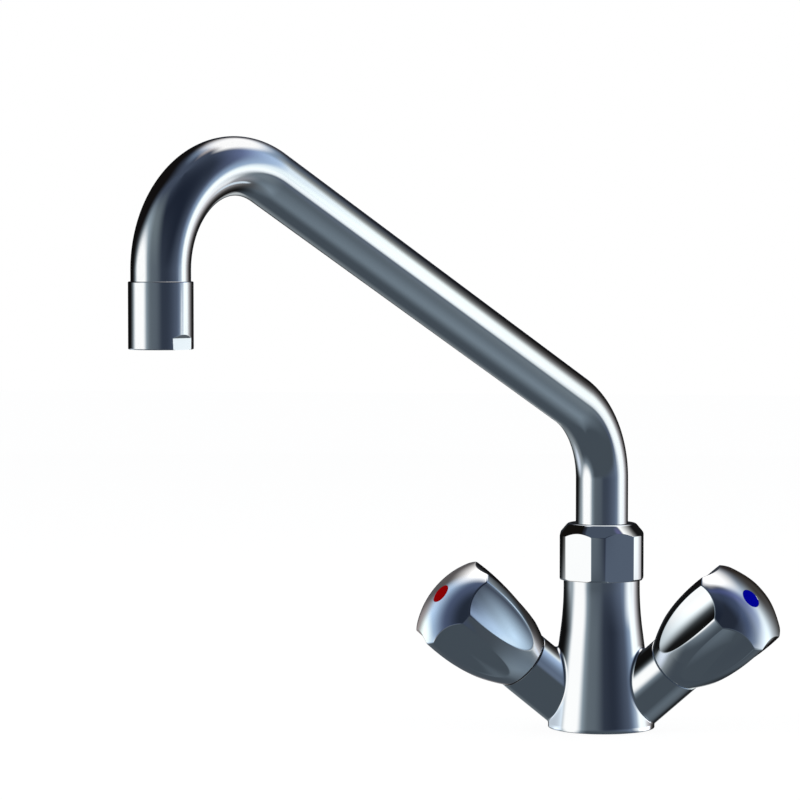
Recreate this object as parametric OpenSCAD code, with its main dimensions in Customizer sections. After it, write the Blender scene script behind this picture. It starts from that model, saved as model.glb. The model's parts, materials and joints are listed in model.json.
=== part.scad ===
// Two handle kitchen faucet with a swivel tube spout, in millimetres and degrees.
// The origin is the centre of the base face, +Z is up and the front looks along -Y.
// Both valves are shown closed and the spout is swung to the left of the front.

/* [Body] */
// Diameter of the base
base_d = 45; // [44:0.5:52]
// Height of the upright rim of the base
rim_h = 2; // [1:0.5:4]
// Rounding of the lower edge of the rim
rim_round = 0.3; // [0.3:0.1:0.9]
// Diameter of the column below the union nut
waist_d = 32.1; // [31:0.5:33]
// Height at which the column becomes upright
waist_z = 60; // [56:1:61]
// Radius of the hollow curve of the column
flare_r = 140; // [100:5:180]
// Height of the shoulder that the union nut stands on
shoulder_z = 62.75; // [62:0.25:70]
// Diameter of the mixing bore in the column
mix_bore_d = 16; // [12:1:17]
// Height of the floor of the mixing bore
mix_floor_z = 23; // [22:0.5:25]

/* [Necks] */
// Rise of each neck above the horizontal
neck_lift = 37.9; // [37:0.5:40]
// Turn of each neck from the side towards the front
neck_turn = 34.6; // [32:0.5:36]
// Distance of the crossing point of the neck axes behind the column axis
cross_back = 10.9; // [10:0.1:12]
// Depth of that crossing point below the base face
cross_drop = 1.5; // [1:0.1:2]
// Outer diameter of a neck
neck_d = 26.4; // [26:0.2:30]
// Distance of the neck mouth from the crossing point
neck_mouth = 50.2; // [50:0.2:54]

/* [Valves] */
// Diameter of the thread that holds a headwork
headwork_thread_d = 20.9; // [20.5:0.1:21.3]
// Diameter of the valve chamber
chamber_d = 18.6; // [18:0.2:19.4]
// Distance of the valve seat from the crossing point
seat_at = 30; // [29.5:0.1:30.5]
// Height of the seat above the chamber floor
seat_h = 2.5; // [1.5:0.5:3]
// Bore of the valve seat
seat_bore_d = 10; // [9:0.5:11]
// Width of the seat ring
seat_land = 1.2; // [0.8:0.1:1.6]
// Travel of a valve from shut to fully open
valve_travel = 4.5; // [3:0.5:4.5]
// Diameter of the rubber valve washer
washer_d = 15; // [14:0.5:16]
// Thickness of the rubber valve washer
washer_t = 3; // [2:0.5:3.5]
// Thickness of the cup that backs the washer
cup_t = 3; // [2:0.5:4]
// Width across flats of the sliding carrier
carrier_af = 11; // [10.5:0.25:11.5]
// Length of the hexagonal shank of the carrier
carrier_l = 11.8; // [11:0.2:12.4]
// Diameter of the threaded end of the spindle
lead_d = 8; // [7:0.5:8.5]
// Diameter of the spindle in its bearing
spindle_d = 9; // [8.8:0.1:9.4]
// Diameter of the spindle collar
collar_d = 10.8; // [10.4:0.1:10.8]
// Thickness of the spindle collar
collar_t = 1.5; // [1:0.1:1.7]
// Diameter of the toothed end of the spindle
spline_d = 8; // [7.2:0.2:8.4]
// Number of teeth on the spindle and in the handle
spline_teeth = 20; // [16:2:24]
// Depth of those teeth
spline_depth = 0.5; // [0.3:0.1:0.6]
// Length of the toothed end
spline_l = 10.4; // [9:0.2:11]
// Thickness of the headwork flange
flange_t = 2; // [1.5:0.25:2.5]
// Width across flats of the headwork hexagon
headwork_af = 17; // [16:0.5:19]
// Height of the headwork hexagon
headwork_hex_h = 6; // [4:0.5:7]
// Height of the round top of the headwork
headwork_top_h = 5; // [4:0.5:6]
// Thickness of the gasket below the flange
gasket_t = 0.8; // [0.5:0.1:1.2]
// Thickness of a retaining clip
clip_t = 1; // [0.8:0.1:1.2]
// Section diameter of a spindle O-ring
spindle_ring_t = 1.5; // [1:0.1:1.6]
// Diameter of the washer screw and of the handle screw
screw_d = 4; // [3.5:0.5:4.5]
// Diameter of their heads
screw_head_d = 7; // [6:0.5:7.4]
// Height of their heads
screw_head_h = 2.2; // [1.8:0.2:2.6]

/* [Handles] */
// Largest diameter of a handle
grip_d = 42.2; // [40:0.2:44]
// Distance of that diameter from the crossing point
grip_at = 85.75; // [84:0.25:88]
// Radius of the side curve of a handle
grip_curve_r = 81; // [76:1:90]
// Distance of the top of the dome from the crossing point
dome_at = 98.8; // [97:0.1:100]
// Radius of the dome
dome_r = 36; // [32:1:40]
// Gap between the neck mouth and the skirt of the handle
skirt_gap = 0.5; // [0.3:0.1:1]
// Wall of the skirt
skirt_wall = 1.2; // [1:0.1:1.6]
// Number of finger hollows round a handle
hollow_count = 6; // [4:1:8]
// Least distance of a finger hollow from the handle axis
hollow_reach = 18.2; // [17.5:0.1:19]
// Radius of a finger hollow across the handle
hollow_r = 30; // [24:1:40]
// Radius of a finger hollow along the handle
hollow_curve_r = 173; // [150:1:220]
// Turn of the ridges from the lowest line of the neck
handle_phase = 13; // [0:1:30]
// Wall of the handle under the deepest hollow
handle_wall = 1.4; // [1.2:0.1:2]
// Wall of the dome
dome_wall = 2.4; // [2:0.2:3]
// Outer diameter of the hub inside the handle
hub_d = 13; // [12:0.5:14]
// Thickness of the floor that the handle screw bears on
screw_floor = 4; // [3:0.5:6]
// Diameter of the coloured index button
button_d = 8.5; // [8:0.1:9.4]
// Thickness of the button's head
button_t = 2; // [1.5:0.25:3]
// Depth of the button below the top of the dome
button_drop = 0.25; // [0:0.05:0.6]
// Length of the stem under the button
button_stem_l = 6; // [4:0.5:8]

/* [Union nut] */
// Height of the union nut
nut_h = 23.75; // [23:0.25:26]
// Width across flats of the union nut
nut_af = 34.4; // [34:0.1:35]
// Diameter that the corners are turned to
nut_turned_d = 36.8; // [36:0.1:38]
// Width of the sloping top edge
nut_bevel_w = 4.1; // [3.5:0.1:4.6]
// Height of the sloping top edge
nut_bevel_h = 4.9; // [4:0.1:5.4]
// Bevel of the lower edge
nut_foot_bevel = 0.6; // [0.3:0.1:1]
// Diameter of the column thread inside the nut
union_thread_d = 28.4; // [28:0.2:29]
// Length of the column thread
union_thread_l = 13.2; // [12:0.2:14]
// Thickness of the slide ring in the nut
slide_ring_t = 1.8; // [1.2:0.2:2.4]

/* [Spout] */
// Outer diameter of the spout tube
tube_d = 22; // [21.6:0.2:22.2]
// Wall of the spout tube
tube_wall = 1.5; // [1:0.1:1.8]
// Height at which the upright part of the tube ends
riser_z = 105.4; // [100:1:140]
// Centre line radius of the lower bend
lower_bend_r = 37.6; // [32:1:50]
// Rise of the long straight part above the horizontal
spout_rise = 26.6; // [15:1:35]
// Length of the long straight part
spout_l = 200.7; // [150:5:260]
// Centre line radius of the upper bend
upper_bend_r = 38.4; // [32:1:50]
// Length of the upright part above the aerator housing
drop_l = 4; // [2:1:20]
// Swing of the spout to the left of the front
spout_swing = 33.8; // [-90:1:90]
// Diameter of the bush that turns in the column
bush_d = 24.5; // [24.2:0.1:24.8]
// Depth of the bush below the top of the column
bush_depth = 25; // [23:0.5:26]
// Thickness of the flange on the bush
bush_flange_t = 3; // [2:0.25:3.4]
// Depth that the tube reaches into the bush below its flange
tube_socket = 10; // [8:0.5:11]
// Section diameter of a bush O-ring
bush_ring_t = 1.6; // [1.2:0.1:1.8]

/* [Aerator] */
// Outer diameter of the aerator housing
aerator_d = 23.8; // [23.6:0.1:25]
// Length of the aerator housing
aerator_l = 24.6; // [22:0.2:30]
// Width across the wrench flats
flat_af = 22; // [21.4:0.1:22.6]
// Height of the wrench flats
flat_h = 4.2; // [3:0.2:6]
// Height of the sloping run-out above each flat
flat_runout = 1.3; // [0.4:0.1:1.6]
// Turn of the wrench flats from the spout plane
flat_turn = 90; // [0:1:180]
// Edge bevel of the aerator housing
aerator_bevel = 0.4; // [0.2:0.1:0.6]
// Depth of the tube in the aerator housing
tube_overlap = 12.5; // [10:0.5:14]
// Bore of the aerator mouth
mouth_d = 18; // [17:0.5:19]
// Thickness of the lip round the mouth
mouth_lip = 1.5; // [1:0.25:2]
// Thickness of the aerator gasket
aerator_gasket_t = 1.7; // [1.2:0.1:2]
// Diameter of the strainer holes of the aerator insert
strainer_hole_d = 1.6; // [1.2:0.1:1.8]

/* [Connections] */
// Diameter of the inlet threads in the underside
inlet_d = 10; // [9:0.5:10.5]
// Depth of the inlet threads
inlet_depth = 9; // [8:0.5:9.5]
// Distance of each inlet from the middle plane
inlet_x = 9.7; // [9.5:0.1:10.5]
// Distance of the inlets behind the column axis
inlet_y = 4.2; // [3.8:0.1:4.6]
// Diameter of the stud thread in the underside
stud_d = 8; // [6:1:8]
// Depth of the stud thread
stud_depth = 14; // [10:1:16]
// Distance of the stud in front of the column axis
stud_y = 9; // [8.5:0.5:10]
// Diameter of the duct from each inlet to its seat
duct_d = 7; // [6:0.5:8]
// Diameter of the port from each chamber to the mixing bore
port_d = 7; // [6:0.5:7.5]
// Height of the middle of those ports
port_z = 27; // [26.5:0.5:28]
// Distance that the ports reach from the column axis
port_reach = 20; // [19:0.5:21]
// Turn of the ports from the side towards the front
port_turn = 6; // [4:1:8]
// Mean diameter of the base seal
seal_mean_d = 39.6; // [39:0.2:40]
// Width of the base seal
seal_w = 2.4; // [2:0.2:2.6]
// Thickness of the base seal
seal_t = 2; // [1.5:0.25:2.5]

/* [Hidden] */

// Facets of a full circle
$fn = 96;
// Radial clearance of turning and sliding fits
run_fit = 0.04;
// Radial clearance of threads that stay tight
thread_fit = 0.05;
// Gap between faces that pass each other
pass_gap = 0.3;
// Gap between a shut valve washer and its seat
seat_gap = 0.2;
// Overrun of cuts
eps = 1;
// Colours
CHROME = [0.80, 0.83, 0.87];
BRASS = [0.80, 0.66, 0.36];
RUBBER = [0.10, 0.10, 0.11];
PLASTIC = [0.93, 0.93, 0.91];
STEEL = [0.62, 0.63, 0.65];
FIBRE = [0.62, 0.20, 0.14];
HOT_RED = [0.50, 0.01, 0.02];
COLD_BLUE = [0.01, 0.01, 0.54];
// Sides of the two handles, hot on the left
HOT = -1;
COLD = 1;

// Column and its nut thread
base_r = base_d / 2;
waist_r = waist_d / 2;
flare_x = waist_r + flare_r;
flare_dx = flare_x - base_r;
flare_dz = waist_z - rim_h;
flare_far = sqrt(flare_dx * flare_dx + flare_dz * flare_dz);
// Slope of the straight taper below the hollow curve
taper_tilt = atan2(flare_dz, flare_dx) - acos(flare_r / flare_far);
taper_top_r = flare_x - flare_r * cos(taper_tilt);
taper_top_z = waist_z - flare_r * sin(taper_tilt);
union_thread_r = union_thread_d / 2;
column_top = shoulder_z + union_thread_l;

// Necks, along each neck axis from the crossing point
neck_r = neck_d / 2;
// Where a neck starts inside the column
neck_root = 8;
// Where the duct to the seat starts inside the inlet
duct_root = 14;
chamber_floor = seat_at - seat_h;
seat_bore_r = seat_bore_d / 2;

// Valve parts, along each neck axis
washer_at = seat_at + seat_gap;
cup_at = washer_at + washer_t;
cup_top = cup_at + cup_t;
carrier_top = cup_top + carrier_l;
// Depth of the washer screw in the carrier, and the web above it
screw_grip = 5;
carrier_web = 1;
lead_bore_at = cup_at + screw_grip + carrier_web;
headwork_foot = cup_top + valve_travel + pass_gap;
carrier_room_top = carrier_top + valve_travel + pass_gap;
lead_foot = lead_bore_at + valve_travel + pass_gap;
// Gap beside the collar and the clip that keep the spindle in place
thrust_gap = 0.1;
collar_at = carrier_room_top + thrust_gap;
collar_end = collar_at + collar_t;
flange_at = neck_mouth + gasket_t;
hex_at = flange_at + flange_t;
top_at = hex_at + headwork_hex_h;
headwork_end = top_at + headwork_top_h;
clip_at = headwork_end + thrust_gap;
spline_at = clip_at + clip_t;
spline_end = spline_at + spline_l;
// Depth of the clip groove and width of the clip
clip_groove = 0.8;
clip_w = 2.5;
// Gap in the clip
clip_slot = 5;
headwork_thread_r = headwork_thread_d / 2;
spindle_r = spindle_d / 2;
collar_r = collar_d / 2;
screw_r = screw_d / 2;
screw_head_r = screw_head_d / 2;
cup_r = washer_d / 2 + run_fit;
// Place of the O-ring along the bearing, as a share of the bearing
ring_place_share = 0.45;
ring_at = collar_end + (headwork_end - collar_end) * ring_place_share;
// Width of the driver slots, and their depth as a share of the head
slot_w = 1.2;
slot_depth_share = 0.5;

// Handle, along each neck axis
grip_r = grip_d / 2;
skirt_at = neck_mouth + skirt_gap;
grip_centre_x = grip_r - grip_curve_r;
dome_centre = dome_at - dome_r;
hollow_depth = grip_r - hollow_reach;
cavity_r = grip_curve_r - hollow_depth - handle_wall;
skirt_rise = grip_at - skirt_at;
skirt_r = grip_centre_x + sqrt(grip_curve_r * grip_curve_r - skirt_rise * skirt_rise);
skirt_bore_r = skirt_r - skirt_wall;
// Gap between the skirt bore and the headwork flange
flange_gap = 0.57;
flange_r = skirt_bore_r - flange_gap;
// Height of the straight bore of the skirt
skirt_bore_h = headwork_hex_h + flange_t + gasket_t;
// Half of the arc that each finger hollow runs along the handle
hollow_sweep = 14;
hub_foot = spline_at + pass_gap;
spline_room_end = spline_end + pass_gap;
screw_seat = spline_room_end + screw_floor;
button_r = button_d / 2;
button_top = dome_at - button_drop;
button_foot = button_top - button_t;
// Play round the head of the handle screw
well_gap = 0.15;
well_r = screw_head_r + well_gap;
button_stem_r = well_r - thread_fit;
// Depth of the handle screw in the spindle, as a share of the teeth
screw_reach_share = 0.7;
screw_reach = spline_l * screw_reach_share;

// Union nut
nut_top = shoulder_z + nut_h;
nut_turned_r = nut_turned_d / 2;
tube_r = tube_d / 2;
// Gap between the nut and the spout tube
nut_mouth_gap = 0.4;
nut_mouth_r = tube_r + nut_mouth_gap;
bush_flange_at = column_top + pass_gap;
bush_flange_top = bush_flange_at + bush_flange_t;
bush_flange_r = union_thread_r - pass_gap;
slide_ring_at = bush_flange_top + pass_gap;
slide_ring_top = slide_ring_at + slide_ring_t;

// Spout, in its own plane: x is the reach and z the height
tube_bore_r = tube_r - tube_wall;
tube_foot = bush_flange_at - tube_socket;
bush_r = bush_d / 2;
bush_foot = column_top - bush_depth;
lower_turn = 90 - spout_rise;
upper_turn = 90 + spout_rise;
bend_start = 90 + spout_rise;
straight_x = lower_bend_r * (1 - sin(spout_rise));
straight_z = riser_z + lower_bend_r * cos(spout_rise);
straight_end_x = straight_x + spout_l * cos(spout_rise);
straight_end_z = straight_z + spout_l * sin(spout_rise);
upper_centre_x = straight_end_x + upper_bend_r * sin(spout_rise);
upper_centre_z = straight_end_z - upper_bend_r * cos(spout_rise);
reach = upper_centre_x + upper_bend_r;
front_angle = -90;
// Reach of the straight runs into the bends, and how much fuller the bends are
bend_lap = 0.5;
bend_swell = 0.02;
bush_ring_r = bush_ring_t / 2;
// Places of the two bush O-rings, as shares of the bush below its flange
bush_ring_shares = [0.12, 0.38];

// Aerator
aerator_r = aerator_d / 2;
aerator_top = upper_centre_z - drop_l;
aerator_foot = aerator_top - aerator_l;
tube_end = aerator_top - tube_overlap;
gasket_foot = tube_end - aerator_gasket_t;
insert_foot = aerator_foot + mouth_lip;
// Wall between the insert and the wrench flats
flat_wall = 0.75;
flat_depth = aerator_r - flat_af / 2;
insert_bore_r = flat_af / 2 - flat_wall;
insert_r = insert_bore_r - thread_fit;
// Wall and plates of the insert
insert_wall = 1.4;
insert_plate = 1.5;
// Rings of strainer holes: distance from the middle as shares of the plate, and their counts
strainer_shares = [0, 0.38, 0.74];
strainer_counts = [1, 6, 12];

// Underside
inlet_r = inlet_d / 2;
stud_r = stud_d / 2;
seal_inner_r = (seal_mean_d - seal_w) / 2;
seal_outer_r = (seal_mean_d + seal_w) / 2;
// Tip angle of the drilled holes
drill_tip = 118;

// Puts its children on a neck: their z runs outward along the neck axis
// from the crossing point and their x points to the lowest line of the neck.
module at_neck(side) {
    heading = side > 0 ? -neck_turn : 180 + neck_turn;
    translate([0, cross_back, -cross_drop])
        rotate([0, 90 - neck_lift, heading])
            children();
}

// A ring or tube along z
module pipe(outer_r, inner_r, foot, top) {
    translate([0, 0, foot])
        difference() {
            cylinder(r = outer_r, h = top - foot);
            translate([0, 0, -eps])
                cylinder(r = inner_r, h = top - foot + 2 * eps);
        }
}

// A round bar along z
module bar(r, foot, top) {
    translate([0, 0, foot])
        cylinder(r = r, h = top - foot);
}

// A six sided bar along z with the given width across flats
module hex_bar(af, foot, top) {
    translate([0, 0, foot])
        cylinder(r = af / sqrt(3), h = top - foot, $fn = 6);
}

// A blind drilled hole upward from a foot, with its tip
module drilled(r, foot, top) {
    bar(r, foot, top);
    translate([0, 0, top])
        cylinder(r1 = r, r2 = 0, h = r / tan(drill_tip / 2));
}

// Outline of the column from the base to the nut shoulder
module column_outline() {
    difference() {
        polygon([
            [0, 0], [base_r, 0], [base_r, rim_h],
            [taper_top_r, taper_top_z], [waist_r, waist_z],
            [waist_r, shoulder_z], [0, shoulder_z]
        ]);
        translate([flare_x, waist_z])
            circle(r = flare_r, $fn = 720);
        translate([base_r - rim_round, 0])
            difference() {
                square([rim_round + eps, rim_round]);
                translate([0, rim_round])
                    circle(r = rim_round);
            }
    }
}

// The solid outside of the body: column, nut thread and both necks
module body_outside() {
    rotate_extrude()
        column_outline();
    bar(union_thread_r, shoulder_z, column_top);
    difference() {
        for (side = [HOT, COLD])
            at_neck(side)
                bar(neck_r, neck_root, neck_mouth);
        translate([0, 0, -base_d])
            cylinder(r = base_d, h = base_d);
    }
}

// Everything that is bored into one neck
module neck_bores() {
    bar(headwork_thread_r + thread_fit, headwork_foot, neck_mouth + eps);
    difference() {
        bar(chamber_d / 2, chamber_floor, headwork_foot + eps);
        bar(seat_bore_r + seat_land, chamber_floor, seat_at);
    }
    bar(seat_bore_r, chamber_floor, seat_at + eps);
    bar(duct_d / 2, duct_root, seat_at);
}

module body_casting() {
    color(CHROME)
        difference() {
            body_outside();
            bar(mix_bore_d / 2, mix_floor_z, column_top + eps);
            bar(bush_r + run_fit, bush_foot - pass_gap, column_top + eps);
            for (side = [HOT, COLD]) {
                at_neck(side)
                    neck_bores();
                translate([side * inlet_x, inlet_y, 0])
                    bar(inlet_r, -eps, inlet_depth);
                translate([0, 0, port_z])
                    rotate([0, 90, side > 0 ? -port_turn : 180 + port_turn])
                        cylinder(r = port_d / 2, h = port_reach);
            }
            translate([0, -stud_y, 0])
                drilled(stud_r, -eps, stud_depth);
            pipe(seal_outer_r, seal_inner_r, -eps, seal_t);
        }
}

module base_seal() {
    color(RUBBER)
        pipe(seal_outer_r - thread_fit, seal_inner_r + thread_fit, 0, seal_t);
}

// Turned outside of the union nut
module nut_turning() {
    rotate_extrude()
        polygon([
            [0, shoulder_z],
            [nut_turned_r - nut_foot_bevel, shoulder_z],
            [nut_turned_r, shoulder_z + nut_foot_bevel],
            [nut_turned_r, nut_top - nut_bevel_h],
            [nut_turned_r - nut_bevel_w, nut_top],
            [0, nut_top]
        ]);
}

module union_nut() {
    color(CHROME)
        difference() {
            intersection() {
                rotate([0, 0, front_angle])
                    hex_bar(nut_af, shoulder_z - eps, nut_top + eps);
                nut_turning();
            }
            bar(union_thread_r + thread_fit, shoulder_z - eps, slide_ring_top);
            bar(nut_mouth_r, shoulder_z, nut_top + eps);
        }
}

module slide_ring() {
    color(PLASTIC)
        pipe(union_thread_r, nut_mouth_r, slide_ring_at, slide_ring_top);
}

// The spout's path filled to radius r, longer by overrun at both open ends.
// The straight runs reach a little into the bends, which are a hair fuller.
module spout_path(r, overrun) {
    bar(r, tube_foot - overrun, riser_z + bend_lap);
    translate([lower_bend_r, 0, riser_z])
        rotate([90, 0, 0])
            rotate([0, 0, bend_start])
                rotate_extrude(angle = lower_turn)
                    translate([lower_bend_r, 0])
                        circle(r = r + bend_swell);
    translate([straight_x, 0, straight_z])
        rotate([0, lower_turn, 0])
            bar(r, -bend_lap, spout_l + bend_lap);
    translate([upper_centre_x, 0, upper_centre_z])
        rotate([90, 0, 0])
            rotate_extrude(angle = upper_turn)
                translate([upper_bend_r, 0])
                    circle(r = r + bend_swell);
    translate([reach, 0, 0])
        bar(r, tube_end - overrun, upper_centre_z + bend_lap);
}

// Puts its children, drawn in the plane of the spout, at the spout's place
module at_spout() {
    rotate([0, 0, front_angle - spout_swing])
        children();
}

// Puts its children at the outlet, with their x in the plane of the spout
module at_outlet() {
    at_spout()
        translate([reach, 0, 0])
            children();
}

module spout_tube() {
    color(CHROME)
        at_spout()
            difference() {
                spout_path(tube_r, 0);
                spout_path(tube_bore_r, eps);
            }
}

// Height of the middle of a bush O-ring
function bush_ring_z(share) = bush_foot + (bush_flange_at - bush_foot) * share;

module spout_bush() {
    color(BRASS)
        difference() {
            union() {
                bar(bush_r, bush_foot, bush_flange_at);
                bar(bush_flange_r, bush_flange_at, bush_flange_top);
            }
            bar(tube_r, tube_foot, bush_flange_top + eps);
            bar(tube_bore_r, bush_foot - eps, tube_foot + eps);
            for (share = bush_ring_shares)
                pipe(
                    bush_r + eps,
                    bush_r - bush_ring_t,
                    bush_ring_z(share) - bush_ring_r - thrust_gap,
                    bush_ring_z(share) + bush_ring_r + thrust_gap
                );
        }
}

// A ring of round section about the z axis
module o_ring(outer_r, section_r, z) {
    color(RUBBER)
        translate([0, 0, z])
            rotate_extrude()
                translate([outer_r - section_r, 0])
                    circle(r = section_r);
}

module bush_o_ring_lower() {
    o_ring(bush_r, bush_ring_r, bush_ring_z(bush_ring_shares[0]));
}

module bush_o_ring_upper() {
    o_ring(bush_r, bush_ring_r, bush_ring_z(bush_ring_shares[1]));
}

// Metal cut away for one wrench flat: upright at the foot, then sloping out to the side
module wrench_flat_cut() {
    flat_x = flat_af / 2;
    ledge_z = aerator_foot + flat_h;
    rotate([90, 0, 0])
        linear_extrude(aerator_d, center = true)
            polygon([
                [flat_x, aerator_foot - eps],
                [flat_x + 2 * flat_depth, aerator_foot - eps],
                [flat_x + 2 * flat_depth, ledge_z + 2 * flat_runout],
                [flat_x, ledge_z]
            ]);
}

module aerator_housing() {
    color(CHROME)
        at_outlet()
            difference() {
                rotate_extrude()
                    polygon([
                        [0, aerator_foot],
                        [aerator_r - aerator_bevel, aerator_foot],
                        [aerator_r, aerator_foot + aerator_bevel],
                        [aerator_r, aerator_top - aerator_bevel],
                        [aerator_r - aerator_bevel, aerator_top],
                        [0, aerator_top]
                    ]);
                bar(tube_r + thread_fit, gasket_foot, aerator_top + eps);
                bar(insert_bore_r, insert_foot, gasket_foot + eps);
                bar(mouth_d / 2, aerator_foot - eps, insert_foot + eps);
                for (turn = [flat_turn, flat_turn + 180])
                    rotate([0, 0, turn])
                        wrench_flat_cut();
            }
}

// Holes of one plate of the aerator insert
module strainer_holes(foot, top) {
    for (i = [0 : len(strainer_shares) - 1], k = [1 : strainer_counts[i]])
        rotate([0, 0, 360 * k / strainer_counts[i]])
            translate([(insert_r - insert_wall) * strainer_shares[i], 0, 0])
                bar(strainer_hole_d / 2, foot - eps, top + eps);
}

module aerator_insert() {
    color(PLASTIC)
        at_outlet()
            difference() {
                bar(insert_r, insert_foot, gasket_foot);
                bar(insert_r - insert_wall, insert_foot + insert_plate, gasket_foot - insert_plate);
                strainer_holes(insert_foot, gasket_foot);
            }
}

module aerator_gasket() {
    color(RUBBER)
        at_outlet()
            pipe(tube_r, tube_bore_r, gasket_foot, tube_end);
}

module headwork_housing() {
    color(BRASS)
        difference() {
            union() {
                bar(headwork_thread_r, headwork_foot, flange_at);
                bar(flange_r, flange_at, hex_at);
                hex_bar(headwork_af, hex_at, top_at);
                bar(headwork_af / 2, top_at, headwork_end);
            }
            hex_bar(carrier_af + 2 * run_fit, headwork_foot - eps, carrier_room_top);
            bar(collar_r + thrust_gap, headwork_foot, collar_end + thrust_gap);
            bar(spindle_r + run_fit, headwork_foot, headwork_end + eps);
        }
}

module housing_gasket() {
    color(FIBRE)
        pipe(flange_r, headwork_thread_r + thread_fit, neck_mouth, flange_at);
}

// Outline with teeth, the same for the spindle and its bore in the handle
module toothed_outline(r) {
    polygon([
        for (k = [0 : spline_teeth - 1], tip = [0, 1])
            (r - spline_depth * (1 - tip)) * [
                cos(180 * (2 * k + tip) / spline_teeth),
                sin(180 * (2 * k + tip) / spline_teeth)
            ]
    ]);
}

module spindle() {
    color(BRASS)
        difference() {
            union() {
                bar(lead_d / 2, lead_foot, collar_at);
                bar(collar_r, collar_at, collar_end);
                bar(spindle_r, collar_end, clip_at);
                bar(spindle_r - clip_groove, clip_at, spline_at);
                translate([0, 0, spline_at])
                    linear_extrude(spline_l)
                        toothed_outline(spline_d / 2);
            }
            pipe(
                spindle_r + eps,
                spindle_r - spindle_ring_t,
                ring_at - spindle_ring_t / 2 - thrust_gap,
                ring_at + spindle_ring_t / 2 + thrust_gap
            );
            bar(screw_r, spline_end - screw_reach - pass_gap, spline_end + eps);
        }
}

module retaining_clip() {
    color(STEEL)
        difference() {
            pipe(spindle_r - clip_groove + clip_w, spindle_r - clip_groove, clip_at, spline_at);
            translate([0, -clip_slot / 2, clip_at - eps])
                cube([spindle_d, clip_slot, clip_t + 2 * eps]);
        }
}

module valve_carrier() {
    color(BRASS)
        difference() {
            union() {
                bar(cup_r, cup_at, cup_top);
                hex_bar(carrier_af, cup_top, carrier_top);
            }
            bar(lead_d / 2 + run_fit, lead_bore_at, carrier_top + eps);
            bar(screw_r, cup_at - eps, cup_at + screw_grip);
        }
}

module valve_washer() {
    color(RUBBER)
        pipe(washer_d / 2, screw_r + thread_fit, washer_at, cup_at);
}

// A cheese head screw along z with its slot, the head on top
module screw(head_foot, shank_l) {
    color(STEEL)
        difference() {
            union() {
                bar(screw_r, head_foot - shank_l, head_foot);
                bar(screw_head_r, head_foot, head_foot + screw_head_h);
            }
            translate([-screw_head_d, -slot_w / 2, head_foot + screw_head_h * slot_depth_share])
                cube([2 * screw_head_d, slot_w, screw_head_h]);
        }
}

// The washer screw hangs below the washer, with its head in the seat bore
module washer_screw() {
    translate([0, 0, washer_at])
        mirror([0, 0, 1])
            screw(0, washer_t + screw_grip);
}

module handle_screw() {
    screw(screw_seat, screw_floor + pass_gap + screw_reach);
}

// Half outline of the handle with its side curve and dome drawn in by the given walls
module handle_outline(side_r, top_r, foot) {
    intersection() {
        translate([grip_centre_x, grip_at])
            circle(r = side_r, $fn = 360);
        translate([0, dome_centre])
            circle(r = top_r, $fn = 180);
        translate([0, foot])
            square([grip_d, dome_at]);
    }
}

// One finger hollow on the side that x points to
module finger_hollow() {
    translate([hollow_reach - hollow_curve_r, 0, grip_at])
        rotate([90, 0, 0])
            rotate([0, 0, -hollow_sweep])
                rotate_extrude(angle = 2 * hollow_sweep, $fn = 360)
                    translate([hollow_curve_r + hollow_r, 0])
                        circle(r = hollow_r);
}

module handle(side) {
    color(CHROME)
        difference() {
            rotate_extrude()
                handle_outline(grip_curve_r, dome_r, skirt_at);
            difference() {
                union() {
                    rotate_extrude()
                        handle_outline(cavity_r, dome_r - dome_wall, skirt_at + skirt_bore_h - eps);
                    bar(skirt_bore_r, skirt_at - eps, skirt_at + skirt_bore_h);
                }
                bar(hub_d / 2, hub_foot, dome_at);
            }
            for (k = [1 : hollow_count])
                rotate([0, 0, -side * handle_phase + 360 * (k + 1 / 2) / hollow_count])
                    finger_hollow();
            translate([0, 0, hub_foot - eps])
                linear_extrude(spline_room_end - hub_foot + eps)
                    toothed_outline(spline_d / 2 + thread_fit);
            bar(screw_r + thread_fit, hub_foot, screw_seat + eps);
            bar(well_r, screw_seat, dome_at + eps);
            bar(button_r + thread_fit, button_foot, dome_at + eps);
        }
}

module index_button(tint) {
    color(tint) {
        intersection() {
            bar(button_r, button_foot, dome_at);
            translate([0, 0, dome_centre])
                sphere(r = dome_r - button_drop, $fn = 360);
        }
        bar(button_stem_r, button_foot - button_stem_l, button_foot);
    }
}

module hot_headwork_housing() { at_neck(HOT) headwork_housing(); }
module hot_housing_gasket() { at_neck(HOT) housing_gasket(); }
module hot_spindle() { at_neck(HOT) spindle(); }
module hot_spindle_o_ring() { at_neck(HOT) o_ring(spindle_r, spindle_ring_t / 2, ring_at); }
module hot_retaining_clip() { at_neck(HOT) retaining_clip(); }
module hot_valve_carrier() { at_neck(HOT) valve_carrier(); }
module hot_valve_washer() { at_neck(HOT) valve_washer(); }
module hot_washer_screw() { at_neck(HOT) washer_screw(); }
module hot_handle() { at_neck(HOT) handle(HOT); }
module hot_handle_screw() { at_neck(HOT) handle_screw(); }
module hot_index_button() { at_neck(HOT) index_button(HOT_RED); }

module cold_headwork_housing() { at_neck(COLD) headwork_housing(); }
module cold_housing_gasket() { at_neck(COLD) housing_gasket(); }
module cold_spindle() { at_neck(COLD) spindle(); }
module cold_spindle_o_ring() { at_neck(COLD) o_ring(spindle_r, spindle_ring_t / 2, ring_at); }
module cold_retaining_clip() { at_neck(COLD) retaining_clip(); }
module cold_valve_carrier() { at_neck(COLD) valve_carrier(); }
module cold_valve_washer() { at_neck(COLD) valve_washer(); }
module cold_washer_screw() { at_neck(COLD) washer_screw(); }
module cold_handle() { at_neck(COLD) handle(COLD); }
module cold_handle_screw() { at_neck(COLD) handle_screw(); }
module cold_index_button() { at_neck(COLD) index_button(COLD_BLUE); }

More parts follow.
